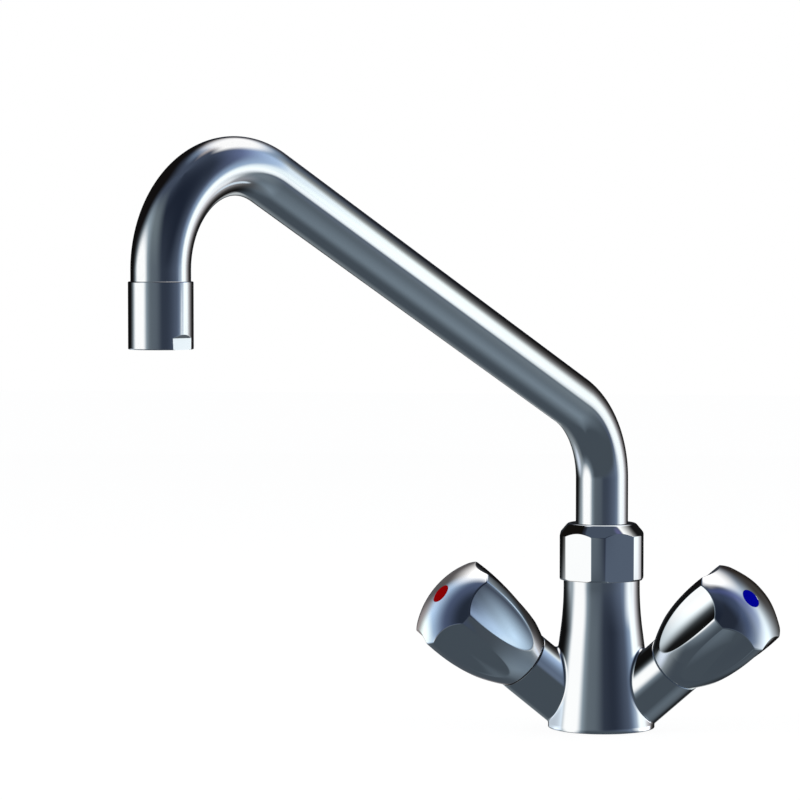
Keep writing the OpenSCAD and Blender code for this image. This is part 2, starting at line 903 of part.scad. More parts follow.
body_casting();
base_seal();
union_nut();
slide_ring();
spout_tube();
spout_bush();
bush_o_ring_lower();
bush_o_ring_upper();
aerator_housing();
aerator_insert();
aerator_gasket();
hot_headwork_housing();
hot_housing_gasket();
hot_spindle();
hot_spindle_o_ring();
hot_retaining_clip();
hot_valve_carrier();
hot_valve_washer();
hot_washer_screw();
hot_handle();
hot_handle_screw();
hot_index_button();
cold_headwork_housing();
cold_housing_gasket();
cold_spindle();
cold_spindle_o_ring();
cold_retaining_clip();
cold_valve_carrier();
cold_valve_washer();
cold_washer_screw();
cold_handle();
cold_handle_screw();
cold_index_button();
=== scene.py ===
# %% [markdown]
# This lesson dresses a two handle kitchen faucet in polished chrome.
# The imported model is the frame: every piece sits where the CAD put it, so nothing has to be fitted.
# Chrome is a mirror, and a mirror shows each facet of a mesh. So the six plated pieces and the two index
# buttons are modelled again with smooth, finely spun surfaces. The inner pieces keep their CAD meshes
# and get real finishes.

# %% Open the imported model
import json
from math import acos, atan2, cos, degrees, hypot, pi, radians, sin, sqrt, tan

import bmesh
import bpy
import numpy as np
from mathutils import Matrix, Vector


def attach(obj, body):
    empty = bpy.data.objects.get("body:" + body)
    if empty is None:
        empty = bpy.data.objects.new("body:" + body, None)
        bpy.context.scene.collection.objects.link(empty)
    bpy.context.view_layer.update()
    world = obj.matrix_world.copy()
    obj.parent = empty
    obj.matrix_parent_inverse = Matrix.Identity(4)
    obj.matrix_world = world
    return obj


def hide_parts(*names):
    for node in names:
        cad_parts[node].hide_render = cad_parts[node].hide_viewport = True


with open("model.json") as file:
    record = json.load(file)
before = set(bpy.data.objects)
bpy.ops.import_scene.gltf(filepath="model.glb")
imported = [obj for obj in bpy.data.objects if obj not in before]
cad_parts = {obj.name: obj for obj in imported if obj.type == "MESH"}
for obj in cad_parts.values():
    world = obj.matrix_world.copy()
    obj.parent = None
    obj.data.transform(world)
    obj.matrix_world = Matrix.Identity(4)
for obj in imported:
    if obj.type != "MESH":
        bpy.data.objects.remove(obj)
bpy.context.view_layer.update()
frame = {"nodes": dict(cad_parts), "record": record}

# %% [markdown]
# All sizes of the faucet are in millimetres, as a drawing has them, and a mesh is scaled to metres when it
# is finished. The camera stands where the photograph was taken from: 1.38 m away, a little to the right of
# the front and slightly above, with a long lens that keeps the faucet's lines almost parallel. Its place,
# turn and lens were found by fitting the faucet's outlines to the photograph.

# %% Set up the camera
MM = 0.001
CAMERA_PLACE = (116.6, -1373.9, 205.36)
CAMERA_TILT = 87.21
CAMERA_TURN = 8.39
LENS = 147.3
SENSOR = 36.0

camera = bpy.data.objects.new("camera", bpy.data.cameras.new("camera"))
camera.location = [v * MM for v in CAMERA_PLACE]
camera.rotation_euler = (radians(CAMERA_TILT), 0, radians(CAMERA_TURN))
camera.data.lens = LENS
camera.data.sensor_width = SENSOR
bpy.context.collection.objects.link(camera)
bpy.context.scene.camera = camera
print("camera at", [round(v, 3) for v in camera.location])

# %% [markdown]
# Most plated pieces were turned on a lathe, so most meshes here start as a half outline that is spun.
# `lathe` spins a closed outline once round the Z axis. Each point of the outline remembers its row,
# so that a later step can slide whole rows, for example to cut flats into a round bar.

# %% Spin an outline and finish a piece
# The middle of a quarter circle lies about this share of its radius in from both sides
QUARTER_SHARE = 0.3


def arc(centre_x, centre_z, radius, start, end, steps):
    """Points along an arc, by angles in degrees from the X axis."""
    turns = [radians(start + (end - start) * k / steps) for k in range(steps + 1)]
    return [(centre_x + radius * cos(a), centre_z + radius * sin(a)) for a in turns]


def lathe(bm, outline, steps, closed=True):
    """Spins an outline of (radius, height) points about Z and returns the row layer."""
    row = bm.verts.layers.int.get("row") or bm.verts.layers.int.new("row")
    points = [bm.verts.new((r, 0, z)) for r, z in outline]
    for index, point in enumerate(points):
        point[row] = index
    edges = [bm.edges.new(pair) for pair in zip(points, points[1:])]
    if closed:
        edges.append(bm.edges.new((points[-1], points[0])))
    bmesh.ops.spin(bm, geom=points + edges, cent=(0, 0, 0), axis=(0, 0, 1), angle=2 * pi,
                   steps=steps, use_merge=True, use_duplicate=False)
    bmesh.ops.remove_doubles(bm, verts=bm.verts, dist=1e-4)
    return row


def ring_edges(verts):
    """Edges that lie between the given points."""
    chosen = set(verts)
    return [e for e in {e for v in chosen for e in v.link_edges} if all(w in chosen for w in e.verts)]


def finish(bm, name, body, nodes, material, crease=24.0):
    """Turns a bmesh in millimetres into a finished piece that rides on a body and stands for its nodes."""
    bmesh.ops.recalc_face_normals(bm, faces=bm.faces)
    bmesh.ops.scale(bm, vec=(MM, MM, MM), verts=bm.verts)
    mesh = bpy.data.meshes.new(name)
    bm.to_mesh(mesh)
    bm.free()
    mesh.shade_smooth()
    mesh.set_sharp_from_angle(angle=radians(crease))
    mesh.materials.append(material)
    piece = bpy.data.objects.new(name, mesh)
    bpy.context.collection.objects.link(piece)
    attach(piece, body)
    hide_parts(*nodes)
    triangles = sum(len(p.vertices) - 2 for p in mesh.polygons)
    print(name, "has", triangles, "triangles")
    return piece


print("a quarter circle in two steps:", [(round(x, 2), round(z, 2)) for x, z in arc(0, 0, 1, 0, 90, 2)])

# %% [markdown]
# A finish is more than one colour. Two effects are shared by several finishes, so each is a node group:
# `soft variation` is a slow drift of a value over the surface, as polishing, wiping and water leave it,
# and `fine marks` is a shallow relief of tiny scratches or grain. They read Object coordinates,
# so they stay on the metal when a handle turns.

# %% Make the shared effects
NOISE_DETAIL, NOISE_ROUGH, MARKS_DETAIL = 3.0, 0.55, 2.0


def link(tree, source, target):
    """Joins two sockets of a node tree."""
    tree.links.new(source, target)


def start_group(name, sockets, result, result_kind):
    """A node group with its sockets, and the nodes that both effects need."""
    tree = bpy.data.node_groups.new(name, "ShaderNodeTree")
    for label, kind in sockets:
        tree.interface.new_socket(label, in_out="INPUT", socket_type=kind)
    tree.interface.new_socket(result, in_out="OUTPUT", socket_type=result_kind)
    return tree, *[tree.nodes.new(kind) for kind in ("NodeGroupInput", "NodeGroupOutput",
                                                     "ShaderNodeTexCoord", "ShaderNodeTexNoise")]


def make_variation_group():
    """Low and high value, mixed by a soft noise."""
    tree, inputs, outputs, place, noise = start_group(
        "soft variation", (("Size", "NodeSocketFloat"), ("Low", "NodeSocketColor"),
                           ("High", "NodeSocketColor")), "Colour", "NodeSocketColor")
    noise.inputs["Detail"].default_value = NOISE_DETAIL
    noise.inputs["Roughness"].default_value = NOISE_ROUGH
    mix = tree.nodes.new("ShaderNodeMix")
    mix.data_type = "RGBA"
    link(tree, place.outputs["Object"], noise.inputs["Vector"])
    link(tree, inputs.outputs["Size"], noise.inputs["Scale"])
    link(tree, noise.outputs["Fac"], mix.inputs["Factor"])
    link(tree, inputs.outputs["Low"], mix.inputs["A"])
    link(tree, inputs.outputs["High"], mix.inputs["B"])
    link(tree, mix.outputs["Result"], outputs.inputs["Colour"])
    return tree


def make_marks_group():
    """A height for a Bump node: noise stretched along one direction into fine strokes."""
    tree, inputs, outputs, place, noise = start_group(
        "fine marks", (("Size", "NodeSocketFloat"), ("Stretch", "NodeSocketVector")),
        "Height", "NodeSocketFloat")
    stretch = tree.nodes.new("ShaderNodeVectorMath")
    stretch.operation = "MULTIPLY"
    noise.inputs["Detail"].default_value = MARKS_DETAIL
    link(tree, place.outputs["Object"], stretch.inputs[0])
    link(tree, inputs.outputs["Stretch"], stretch.inputs[1])
    link(tree, stretch.outputs["Vector"], noise.inputs["Vector"])
    link(tree, inputs.outputs["Size"], noise.inputs["Scale"])
    link(tree, noise.outputs["Fac"], outputs.inputs["Height"])
    return tree


variation_group = make_variation_group()
marks_group = make_marks_group()
print("effects:", variation_group.name, "and", marks_group.name)

# %% [markdown]
# One function makes every finish from these two effects. What is the same all over the surface, such as
# the metallic value of a metal, is typed on the shader's own socket. What drifts over the surface,
# such as the roughness where a hand has wiped, comes through the groups.

# %% Make a finish
WIPE_SCALE, MARK_DEPTH = 2.3, 0.00005


def place_group(tree, group, **values):
    """Puts a shared effect in a material, with its own values."""
    node = tree.nodes.new("ShaderNodeGroup")
    node.node_tree = group
    for label, value in values.items():
        node.inputs[label].default_value = value
    return node


def make_finish(name, low, high, rough, metallic=0.0, size=40.0, marks=900.0, stretch=(1, 1, 1),
                relief=0.0, specular=0.5):
    """A Principled material whose colour and roughness drift between two values."""
    material = bpy.data.materials.new(name)
    material.use_nodes = True
    tree = material.node_tree
    shader = tree.nodes["Principled BSDF"]
    shader.inputs["Metallic"].default_value = metallic
    shader.inputs["Specular IOR Level"].default_value = specular

    colour = place_group(tree, variation_group, Size=size, Low=(*low, 1), High=(*high, 1))
    link(tree, colour.outputs["Colour"], shader.inputs["Base Color"])
    low_rough, high_rough = ((value, value, value, 1) for value in rough)
    polish = place_group(tree, variation_group, Size=size * WIPE_SCALE, Low=low_rough, High=high_rough)
    link(tree, polish.outputs["Colour"], shader.inputs["Roughness"])
    if relief:
        grain = place_group(tree, marks_group, Size=marks, Stretch=stretch)
        bump = tree.nodes.new("ShaderNodeBump")
        bump.inputs["Strength"].default_value = relief
        bump.inputs["Distance"].default_value = MARK_DEPTH
        link(tree, grain.outputs["Height"], bump.inputs["Height"])
        link(tree, bump.outputs["Normal"], shader.inputs["Normal"])
    return material


CHROME = make_finish("mirror chrome", (0.80, 0.82, 0.85), (0.84, 0.86, 0.88), (0.018, 0.032),
                     metallic=1.0, size=22.0)
BRASS = make_finish("turned brass", (0.62, 0.43, 0.17), (0.78, 0.58, 0.28), (0.18, 0.32),
                    metallic=1.0, marks=1500.0, stretch=(1, 1, 6), relief=0.25)
STEEL = make_finish("turned steel", (0.50, 0.51, 0.53), (0.62, 0.63, 0.65), (0.2, 0.34),
                    metallic=1.0, marks=1800.0, stretch=(1, 1, 5), relief=0.25)
RUBBER = make_finish("black rubber", (0.018, 0.018, 0.02), (0.035, 0.035, 0.037), (0.6, 0.78),
                     marks=2400.0, relief=0.5)
PLASTIC = make_finish("white plastic", (0.80, 0.80, 0.77), (0.88, 0.88, 0.86), (0.32, 0.45),
                      marks=1600.0, relief=0.15)
FIBRE = make_finish("pressed fibre", (0.30, 0.07, 0.05), (0.46, 0.15, 0.10), (0.75, 0.9), size=300.0,
                    marks=2600.0, relief=0.7)
RED = make_finish("red enamel", (0.20, 0.0005, 0.001), (0.23, 0.001, 0.002), (0.35, 0.45), size=90.0,
                  specular=0.0)
BLUE = make_finish("blue enamel", (0.0004, 0.0008, 0.24), (0.0008, 0.0014, 0.27), (0.35, 0.45), size=90.0,
                   specular=0.0)
print("finishes:", ", ".join(m.name for m in bpy.data.materials))

# %% [markdown]
# The column of the body casting is one turned shape: an upright rim, a short taper and a long hollow curve
# up to the waist, then the thread for the union nut and the bore for the spout's bush.
# The curve touches the taper, so the angle where they meet is worked out from the arc's centre.

# %% Size the column
BASE_R, RIM_H, RIM_ROUND = 22.5, 2.0, 0.3
WAIST_R, WAIST_Z, FLARE_R = 16.05, 60.0, 140.0
SHOULDER_Z, THREAD_R, COLUMN_TOP = 62.75, 14.2, 75.95
BUSH_BORE_R, BUSH_BORE_FLOOR, MIX_R, MIX_FLOOR = 12.29, 50.65, 8.0, 23.0
SEAL_INNER_R, SEAL_OUTER_R, SEAL_T = 18.6, 21.0, 2.0

flare_x = WAIST_R + FLARE_R
flare_dx, flare_dz = flare_x - BASE_R, WAIST_Z - RIM_H
taper_tilt = atan2(flare_dz, flare_dx) - acos(FLARE_R / hypot(flare_dx, flare_dz))
taper_top_r = flare_x - FLARE_R * cos(taper_tilt)
taper_top_z = WAIST_Z - FLARE_R * sin(taper_tilt)


def column_radius(z):
    """Outer radius of the column at a height."""
    if z >= WAIST_Z:
        return WAIST_R
    if z >= taper_top_z:
        return flare_x - sqrt(FLARE_R ** 2 - (WAIST_Z - z) ** 2)
    if z >= RIM_H:
        return taper_top_r + (BASE_R - taper_top_r) * (taper_top_z - z) / (taper_top_z - RIM_H)
    return BASE_R


print("the taper ends at radius", round(taper_top_r, 2), "and height", round(taper_top_z, 2))

# %% [markdown]
# The underside has a groove for the seal, two threaded inlets for the hoses and a hole for the stud.
# Holes in a flat face don't need a boolean: the circles are drawn in the face, the flat ring between them
# is filled, and each circle is pulled up to make the wall of its hole.

# %% Turn the column and drill its underside
COLUMN_STEPS, CURVE_ROWS, RIM_ROWS, HOLE_STEPS = 256, 60, 6, 64
RIM_BREAK_H, RIM_BREAK_IN, THREAD_BEVEL = 0.12, 0.04, 0.5
INLET_R, INLET_DEPTH, INLET_X, INLET_Y = 5.0, 9.0, 9.7, 4.2
STUD_R, STUD_DEPTH, STUD_Y = 4.0, 14.0, 9.0


def turn_column(bm):
    """Spins the column, from the seal's groove round the outside and down the bore."""
    rim = arc(BASE_R - RIM_ROUND, RIM_ROUND, RIM_ROUND, -90, 0, RIM_ROWS)
    curve_heights = [taper_top_z + (WAIST_Z - taper_top_z) * k / CURVE_ROWS for k in range(CURVE_ROWS + 1)]
    outline = [(SEAL_INNER_R, 0), (SEAL_INNER_R, SEAL_T), (SEAL_OUTER_R, SEAL_T), (SEAL_OUTER_R, 0)]
    outline += rim + [(BASE_R, RIM_H - RIM_BREAK_H), (BASE_R - RIM_BREAK_IN, RIM_H + RIM_BREAK_H)]
    outline += [(column_radius(z), z) for z in curve_heights]
    outline += [(WAIST_R, SHOULDER_Z), (THREAD_R, SHOULDER_Z), (THREAD_R, COLUMN_TOP - THREAD_BEVEL)]
    outline += [(THREAD_R - THREAD_BEVEL, COLUMN_TOP), (BUSH_BORE_R, COLUMN_TOP)]
    outline += [(BUSH_BORE_R, BUSH_BORE_FLOOR)]
    outline += [(MIX_R, BUSH_BORE_FLOOR), (MIX_R, MIX_FLOOR), (0, MIX_FLOOR)]
    lathe(bm, outline, COLUMN_STEPS, closed=False)


def drill_underside(bm):
    """Closes the underside round its holes and sinks the holes."""
    edge = [e for e in bm.edges if e.is_boundary]
    holes = ((INLET_X, INLET_Y, INLET_R, INLET_DEPTH), (-INLET_X, INLET_Y, INLET_R, INLET_DEPTH),
             (0, -STUD_Y, STUD_R, STUD_DEPTH))
    rings = []
    for x, y, radius, depth in holes:
        ring = bmesh.ops.create_circle(bm, cap_ends=False, radius=radius, segments=HOLE_STEPS,
                                       matrix=Matrix.Translation((x, y, 0)))["verts"]
        rings.append((ring_edges(ring), depth))
    bmesh.ops.triangle_fill(bm, edges=edge + [e for ring, _ in rings for e in ring], use_beauty=True,
                            normal=(0, 0, -1))
    for ring, depth in rings:
        raised = bmesh.ops.extrude_edge_only(bm, edges=ring)["geom"]
        top = [g for g in raised if isinstance(g, bmesh.types.BMVert)]
        bmesh.ops.translate(bm, verts=top, vec=(0, 0, depth))
        bmesh.ops.contextual_create(bm, geom=ring_edges(top))


body_bm = bmesh.new()
turn_column(body_bm)
drill_underside(body_bm)
print("the column and its underside have", len(body_bm.faces), "faces")

# %% [markdown]
# Each neck is a sleeve that runs into the column with a small fillet, as a casting does.
# The sleeve is a grid bent into a tube: its columns are lines along the neck, and its rows are
# the bore, the mouth, the outside and the fillet. For every line the script looks for the point where
# it enters the column and bends a small arc from the neck to the column there.

# %% Place things on a neck
NECK_LIFT, NECK_TURN, CROSS_BACK, CROSS_DROP = 37.9, 34.6, 10.9, 1.5
NECK_R, NECK_BORE_R, NECK_MOUTH, NECK_ROOT = 13.2, 10.5, 50.2, 8.0
SLOPE_STEP = 0.05
SIDES = {"hot": -1, "cold": 1}


def neck_frame(side):
    """Matrix of a neck: Z outward along its axis and X towards its lowest line."""
    heading = -NECK_TURN if side > 0 else 180 + NECK_TURN
    return (Matrix.Translation((0, CROSS_BACK, -CROSS_DROP)) @ Matrix.Rotation(radians(heading), 4, "Z")
            @ Matrix.Rotation(radians(90 - NECK_LIFT), 4, "Y"))


def outside_column(point):
    """Distance of a point outside the column's skin, negative inside."""
    return hypot(point.x, point.y) - column_radius(point.z)


def column_slope(point):
    """Direction in which the distance from the column grows."""
    return Vector([outside_column(point + SLOPE_STEP * axis) - outside_column(point - SLOPE_STEP * axis)
                   for axis in (Vector((1, 0, 0)), Vector((0, 1, 0)), Vector((0, 0, 1)))]).normalized()


print("hot neck points to", [round(v, 3) for v in neck_frame(-1).col[2][:3]])

# %% Bend a fillet between a neck and the column
FILLET_R, FILLET_STEPS, FILLET_REACH, FILLET_TAIL, FILLET_SINK = 1.3, 12, 4.0, 0.8, 0.03
SEARCH_FROM, SEARCH_STEP, SEARCH_HALVINGS = NECK_MOUTH - 3, 0.25, 30
NECK_LINES, MOUTH_BEVEL, MOUTH_ROUND = 192, 0.4, 0.3
HIDDEN_STEP, SLEEVE_WALL, SLEEVE_ROOT = 0.02, 0.4, 1.5
# A start on the neck, the arc's points, and an end in the column, which is there twice
SKIN_POINTS = 1 + FILLET_STEPS + 1 + 2


def entry_distance(matrix, angle):
    """Distance along the neck at which one of its lines enters the column, or None."""
    def height(s):
        return outside_column(matrix @ Vector((NECK_R * cos(angle), NECK_R * sin(angle), s)))

    outer = SEARCH_FROM
    while outer > NECK_ROOT and height(outer - SEARCH_STEP) > 0:
        outer -= SEARCH_STEP
    if outer <= NECK_ROOT:
        return None
    inner = outer - SEARCH_STEP
    for _ in range(SEARCH_HALVINGS):
        middle = (outer + inner) / 2
        if height(middle) > 0:
            outer = middle
        else:
            inner = middle
    return outer


def fillet_line(matrix, angle):
    """Points (radius, distance) from the neck's side into the column along one line of the neck."""
    start = entry_distance(matrix, angle)
    if start is None:
        return [(NECK_R, NECK_ROOT + HIDDEN_STEP * k) for k in reversed(range(SKIN_POINTS))]
    radial = matrix.to_3x3() @ Vector((cos(angle), sin(angle), 0))
    axis = matrix.to_3x3() @ Vector((0, 0, 1))
    slope = column_slope(matrix @ Vector((NECK_R * cos(angle), NECK_R * sin(angle), start)))
    along, out = -slope.dot(radial), slope.dot(axis)
    if out < 0:
        along, out = -along, -out
    size = hypot(along, out)
    opening = acos(max(-1, min(1, along / size)))
    reach = min(FILLET_R / tan(opening / 2), FILLET_REACH)
    radius = reach * tan(opening / 2)
    centre = (NECK_R + radius, start + reach)
    line = [(NECK_R, start + reach + FILLET_TAIL)]
    for k in range(FILLET_STEPS + 1):
        turn = (pi - opening) * k / FILLET_STEPS
        line.append((centre[0] - radius * cos(turn), centre[1] - radius * sin(turn)))
    end = line[-1]
    line.append((end[0] + FILLET_TAIL * out / size, end[1] + FILLET_TAIL * along / size))
    fixed = []
    for k, (r, s) in enumerate(line):
        point = matrix @ Vector((r * cos(angle), r * sin(angle), s))
        share = max(0, (k - 1) / FILLET_STEPS) ** 2
        sink = FILLET_SINK if k > FILLET_STEPS + 1 else 0.0
        point -= slope * (outside_column(point) * min(share, 1) + sink) if share > 0 else Vector()
        local = matrix.inverted() @ point
        fixed.append((local.x * cos(angle) + local.y * sin(angle), local.z))
    return fixed + [fixed[-1]]


meets = [entry_distance(neck_frame(1), radians(turn)) for turn in (0, 90, 180)]
print("lines of the cold neck meet the column at", [at and round(at, 1) for at in meets], "mm along it")

# %% Bend the two necks
def bend_neck(bm, side):
    """Adds one neck sleeve to the bmesh."""
    matrix = neck_frame(side)
    near = MOUTH_ROUND * QUARTER_SHARE
    mouth = [(NECK_BORE_R, NECK_MOUTH - MOUTH_BEVEL), (NECK_BORE_R + MOUTH_BEVEL, NECK_MOUTH),
             (NECK_R - MOUTH_ROUND, NECK_MOUTH), (NECK_R - near, NECK_MOUTH - near),
             (NECK_R, NECK_MOUTH - MOUTH_ROUND)]
    rows = 1 + len(mouth) + SKIN_POINTS + 1
    sleeve = bmesh.new()
    row = lathe(sleeve, [(NECK_R + k, k) for k in range(rows)], NECK_LINES)
    lines = {}
    for vert in sleeve.verts:
        angle = atan2(vert.co.y, vert.co.x)
        key = round(angle / (2 * pi) * NECK_LINES) % NECK_LINES
        if key not in lines:
            skin = fillet_line(matrix, angle)
            foot = max(NECK_ROOT, skin[-1][1] - SLEEVE_ROOT)
            lines[key] = [(NECK_BORE_R, foot)] + mouth + skin + [(NECK_R - SLEEVE_WALL, foot)]
        r, s = lines[key][vert[row]]
        vert.co = matrix @ Vector((r * cos(angle), r * sin(angle), s))
    mesh = bpy.data.meshes.new("sleeve")
    bmesh.ops.remove_doubles(sleeve, verts=sleeve.verts, dist=1e-4)
    bmesh.ops.recalc_face_normals(sleeve, faces=sleeve.faces)
    sleeve.to_mesh(mesh)
    sleeve.free()
    bm.from_mesh(mesh)
    bpy.data.meshes.remove(mesh)


for neck_side in SIDES.values():
    bend_neck(body_bm, neck_side)
body_piece = finish(body_bm, "body_casting_skin", "faucet_body", ["body_casting"], CHROME,
                    crease=20)

# %% [markdown]
# The union nut is a hexagon bar that was turned on a lathe: the turning tool cut the corners round and
# left a sloping top, so the flats end in arches. Here it is made the other way round. A turned bar is
# spun, and then its rows slide inward on the flats. The row between the side and the slope slides along
# the slope, which draws the arches exactly.

# %% Turn the union nut
NUT_TOP, NUT_APOTHEM, NUT_TURNED_R = 86.5, 17.2, 18.4
NUT_BEVEL_W, NUT_BEVEL_H, NUT_FOOT = 4.1, 4.9, 0.6
NUT_MOUTH_R, NUT_THREAD_R, NUT_ROOF = 11.4, 14.25, 81.35
NUT_LIP_ROUND, LIP_ROWS, NUT_STEPS = 1.8, 10, 360
NUT_SOFT, NUT_MOUTH_SOFT, NUT_MOUTH_NEAR = 0.22, 0.25, 0.07
ARCH_IN_SHARE, ARCH_UP_SHARE, ARCH_END_SHARE = 0.18, 0.1, 0.7
HEX_SECTOR = 60

lip_tilt = atan2(NUT_BEVEL_H, NUT_BEVEL_W)
lip_middle_r = NUT_TURNED_R - NUT_BEVEL_W - NUT_LIP_ROUND * tan(lip_tilt / 2)
lip_turns = [lip_tilt * (1 - k / LIP_ROWS) for k in range(LIP_ROWS + 1)]
lip = [(lip_middle_r + NUT_LIP_ROUND * sin(t), NUT_TOP - NUT_LIP_ROUND * (1 - cos(t))) for t in lip_turns]


def nut_side(angle):
    """Distance of the nut's side from its axis, with corners to the front and back."""
    from_flat = (degrees(angle) + 90) % HEX_SECTOR - HEX_SECTOR / 2
    return min(NUT_TURNED_R, NUT_APOTHEM / cos(radians(from_flat)))


def nut_rows(angle):
    """The outline of the nut at one angle, from the bore round the outside and back."""
    side = nut_side(angle)
    foot_r = min(NUT_TURNED_R - NUT_FOOT, side)
    slope = NUT_BEVEL_H / NUT_BEVEL_W
    arch_z = NUT_TOP - (side - (NUT_TURNED_R - NUT_BEVEL_W)) * slope
    soft = NUT_SOFT
    return [
        (NUT_THREAD_R, SHOULDER_Z), (foot_r - soft, SHOULDER_Z),
        (foot_r - soft * QUARTER_SHARE, SHOULDER_Z + soft * QUARTER_SHARE),
        (side, SHOULDER_Z + side - foot_r + soft), (side, SHOULDER_Z + side - foot_r + 2 * soft),
        (side, arch_z - soft), (side - soft * ARCH_IN_SHARE, arch_z + soft * ARCH_UP_SHARE),
        (side - soft * ARCH_END_SHARE, arch_z + soft * ARCH_END_SHARE * slope), *lip,
        (NUT_MOUTH_R + NUT_MOUTH_SOFT, NUT_TOP),
        (NUT_MOUTH_R + NUT_MOUTH_NEAR, NUT_TOP - NUT_MOUTH_NEAR), (NUT_MOUTH_R, NUT_TOP - NUT_MOUTH_SOFT),
        (NUT_MOUTH_R, NUT_ROOF), (NUT_THREAD_R, NUT_ROOF),
    ]


nut_bm = bmesh.new()
nut_layer = lathe(nut_bm, nut_rows(0), NUT_STEPS)
for vert in nut_bm.verts:
    angle = atan2(vert.co.y, vert.co.x)
    r, z = nut_rows(angle)[vert[nut_layer]]
    vert.co = (r * cos(angle), r * sin(angle), z)
finish(nut_bm, "union_nut_skin", "faucet_body", ["union_nut"], CHROME, crease=35)

# %% [markdown]
# The spout is a bent tube. Two circles, the outside and the bore, are pulled along the tube's path:
# straight up, round the lower bend, along the sloping run, round the upper bend and straight down.
# Spin is the right tool for a bend, because it keeps the section truly round. The ring faces at the two
# ends come last: edges across the wall, if they were pulled along, would leave walls inside the metal.

# %% Bend the spout tube
TUBE_R, TUBE_BORE_R, TUBE_FOOT, RISER_Z = 11.0, 9.5, 66.25, 105.4
LOWER_BEND_R, UPPER_BEND_R, SPOUT_RISE, SPOUT_L, DROP_L = 37.6, 38.4, 26.6, 200.7, 4.0
SPOUT_SWING = 33.8
AERATOR_L, TUBE_OVERLAP = 24.6, 12.5
TUBE_STEPS, LOWER_BEND_STEPS, UPPER_BEND_STEPS = 144, 48, 84

rise = radians(SPOUT_RISE)
straight_x = LOWER_BEND_R * (1 - sin(rise))
straight_z = RISER_Z + LOWER_BEND_R * cos(rise)
upper_x = straight_x + SPOUT_L * cos(rise) + UPPER_BEND_R * sin(rise)
upper_z = straight_z + SPOUT_L * sin(rise) - UPPER_BEND_R * cos(rise)
reach = upper_x + UPPER_BEND_R
aerator_top = upper_z - DROP_L
tube_end = aerator_top - TUBE_OVERLAP
spout_turn = Matrix.Rotation(radians(-90 - SPOUT_SWING), 4, "Z")
print("the spout reaches", round(reach, 1), "mm and rises to", round(upper_z + UPPER_BEND_R + TUBE_R, 1))


def pull(bm, verts, vec):
    """Pulls rings of points along a vector and returns the new rings."""
    geom = bmesh.ops.extrude_edge_only(bm, edges=ring_edges(verts))["geom"]
    moved = [g for g in geom if isinstance(g, bmesh.types.BMVert)]
    bmesh.ops.translate(bm, verts=moved, vec=vec)
    return moved


def bend(bm, verts, centre, angle, steps):
    """Spins rings of points about the tube's cross direction and returns the new rings."""
    geom = bmesh.ops.spin(bm, geom=list(verts) + ring_edges(verts), cent=centre, axis=(0, 1, 0),
                          angle=angle, steps=steps, use_merge=False, use_duplicate=False)["geom_last"]
    return [g for g in geom if isinstance(g, bmesh.types.BMVert)]


tube_bm = bmesh.new()
foot_place = Matrix.Translation((0, 0, TUBE_FOOT))
tube_rings = []
for radius in (TUBE_R, TUBE_BORE_R):
    tube_rings += bmesh.ops.create_circle(tube_bm, cap_ends=False, radius=radius, segments=TUBE_STEPS,
                                          matrix=foot_place)["verts"]
foot_rings = tube_rings
tube_rings = pull(tube_bm, tube_rings, (0, 0, RISER_Z - TUBE_FOOT))
tube_rings = bend(tube_bm, tube_rings, (LOWER_BEND_R, 0, RISER_Z), pi / 2 - rise, LOWER_BEND_STEPS)
tube_rings = pull(tube_bm, tube_rings, (SPOUT_L * cos(rise), 0, SPOUT_L * sin(rise)))
tube_rings = bend(tube_bm, tube_rings, (upper_x, 0, upper_z), pi / 2 + rise, UPPER_BEND_STEPS)
tube_rings = pull(tube_bm, tube_rings, (0, 0, tube_end - upper_z))
for end_rings in (foot_rings, tube_rings):
    bmesh.ops.bridge_loops(tube_bm, edges=ring_edges(end_rings))
bmesh.ops.transform(tube_bm, matrix=spout_turn, verts=tube_bm.verts)
finish(tube_bm, "spout_tube_skin", "spout", ["spout_tube"], CHROME)

# %% [markdown]
# The aerator housing is a short turned sleeve with two flats for a wrench at its lower edge.
# The rows below the top of the flats are pushed in to the flats, and the rows just above it
# run out to the full width like the slope that a milling cutter leaves.

# %% Turn the aerator housing
AERATOR_R, AERATOR_BEVEL, FLAT_HALF, FLAT_H, FLAT_TURN = 11.9, 0.35, 11.0, 4.2, 90.0
FLAT_RUNOUT, RUNOUT_ROWS, OUTLET_BREAK, AERATOR_STEPS = 1.3, 12, 0.2, 288
MOUTH_R, MOUTH_LIP, INSERT_BORE_R, GASKET_T, SOCKET_R = 9.0, 1.5, 10.25, 1.7, 11.05

aerator_foot = aerator_top - AERATOR_L
ledge_z = aerator_foot + FLAT_H
gasket_foot = tube_end - GASKET_T
bevel_near = AERATOR_BEVEL * QUARTER_SHARE
housing_outline = [
    (MOUTH_R, aerator_foot + OUTLET_BREAK), (MOUTH_R + OUTLET_BREAK, aerator_foot),
    (AERATOR_R - AERATOR_BEVEL, aerator_foot),
    (AERATOR_R - bevel_near, aerator_foot + bevel_near),
    (AERATOR_R, aerator_foot + AERATOR_BEVEL),
    *[(AERATOR_R, ledge_z + FLAT_RUNOUT * k / RUNOUT_ROWS) for k in range(RUNOUT_ROWS + 1)],
    (AERATOR_R, aerator_top - AERATOR_BEVEL),
    (AERATOR_R - bevel_near, aerator_top - bevel_near),
    (AERATOR_R - AERATOR_BEVEL, aerator_top), (SOCKET_R, aerator_top), (SOCKET_R, gasket_foot),
    (INSERT_BORE_R, gasket_foot), (INSERT_BORE_R, aerator_foot + MOUTH_LIP),
    (MOUTH_R, aerator_foot + MOUTH_LIP),
]
housing_bm = bmesh.new()
lathe(housing_bm, housing_outline, AERATOR_STEPS)
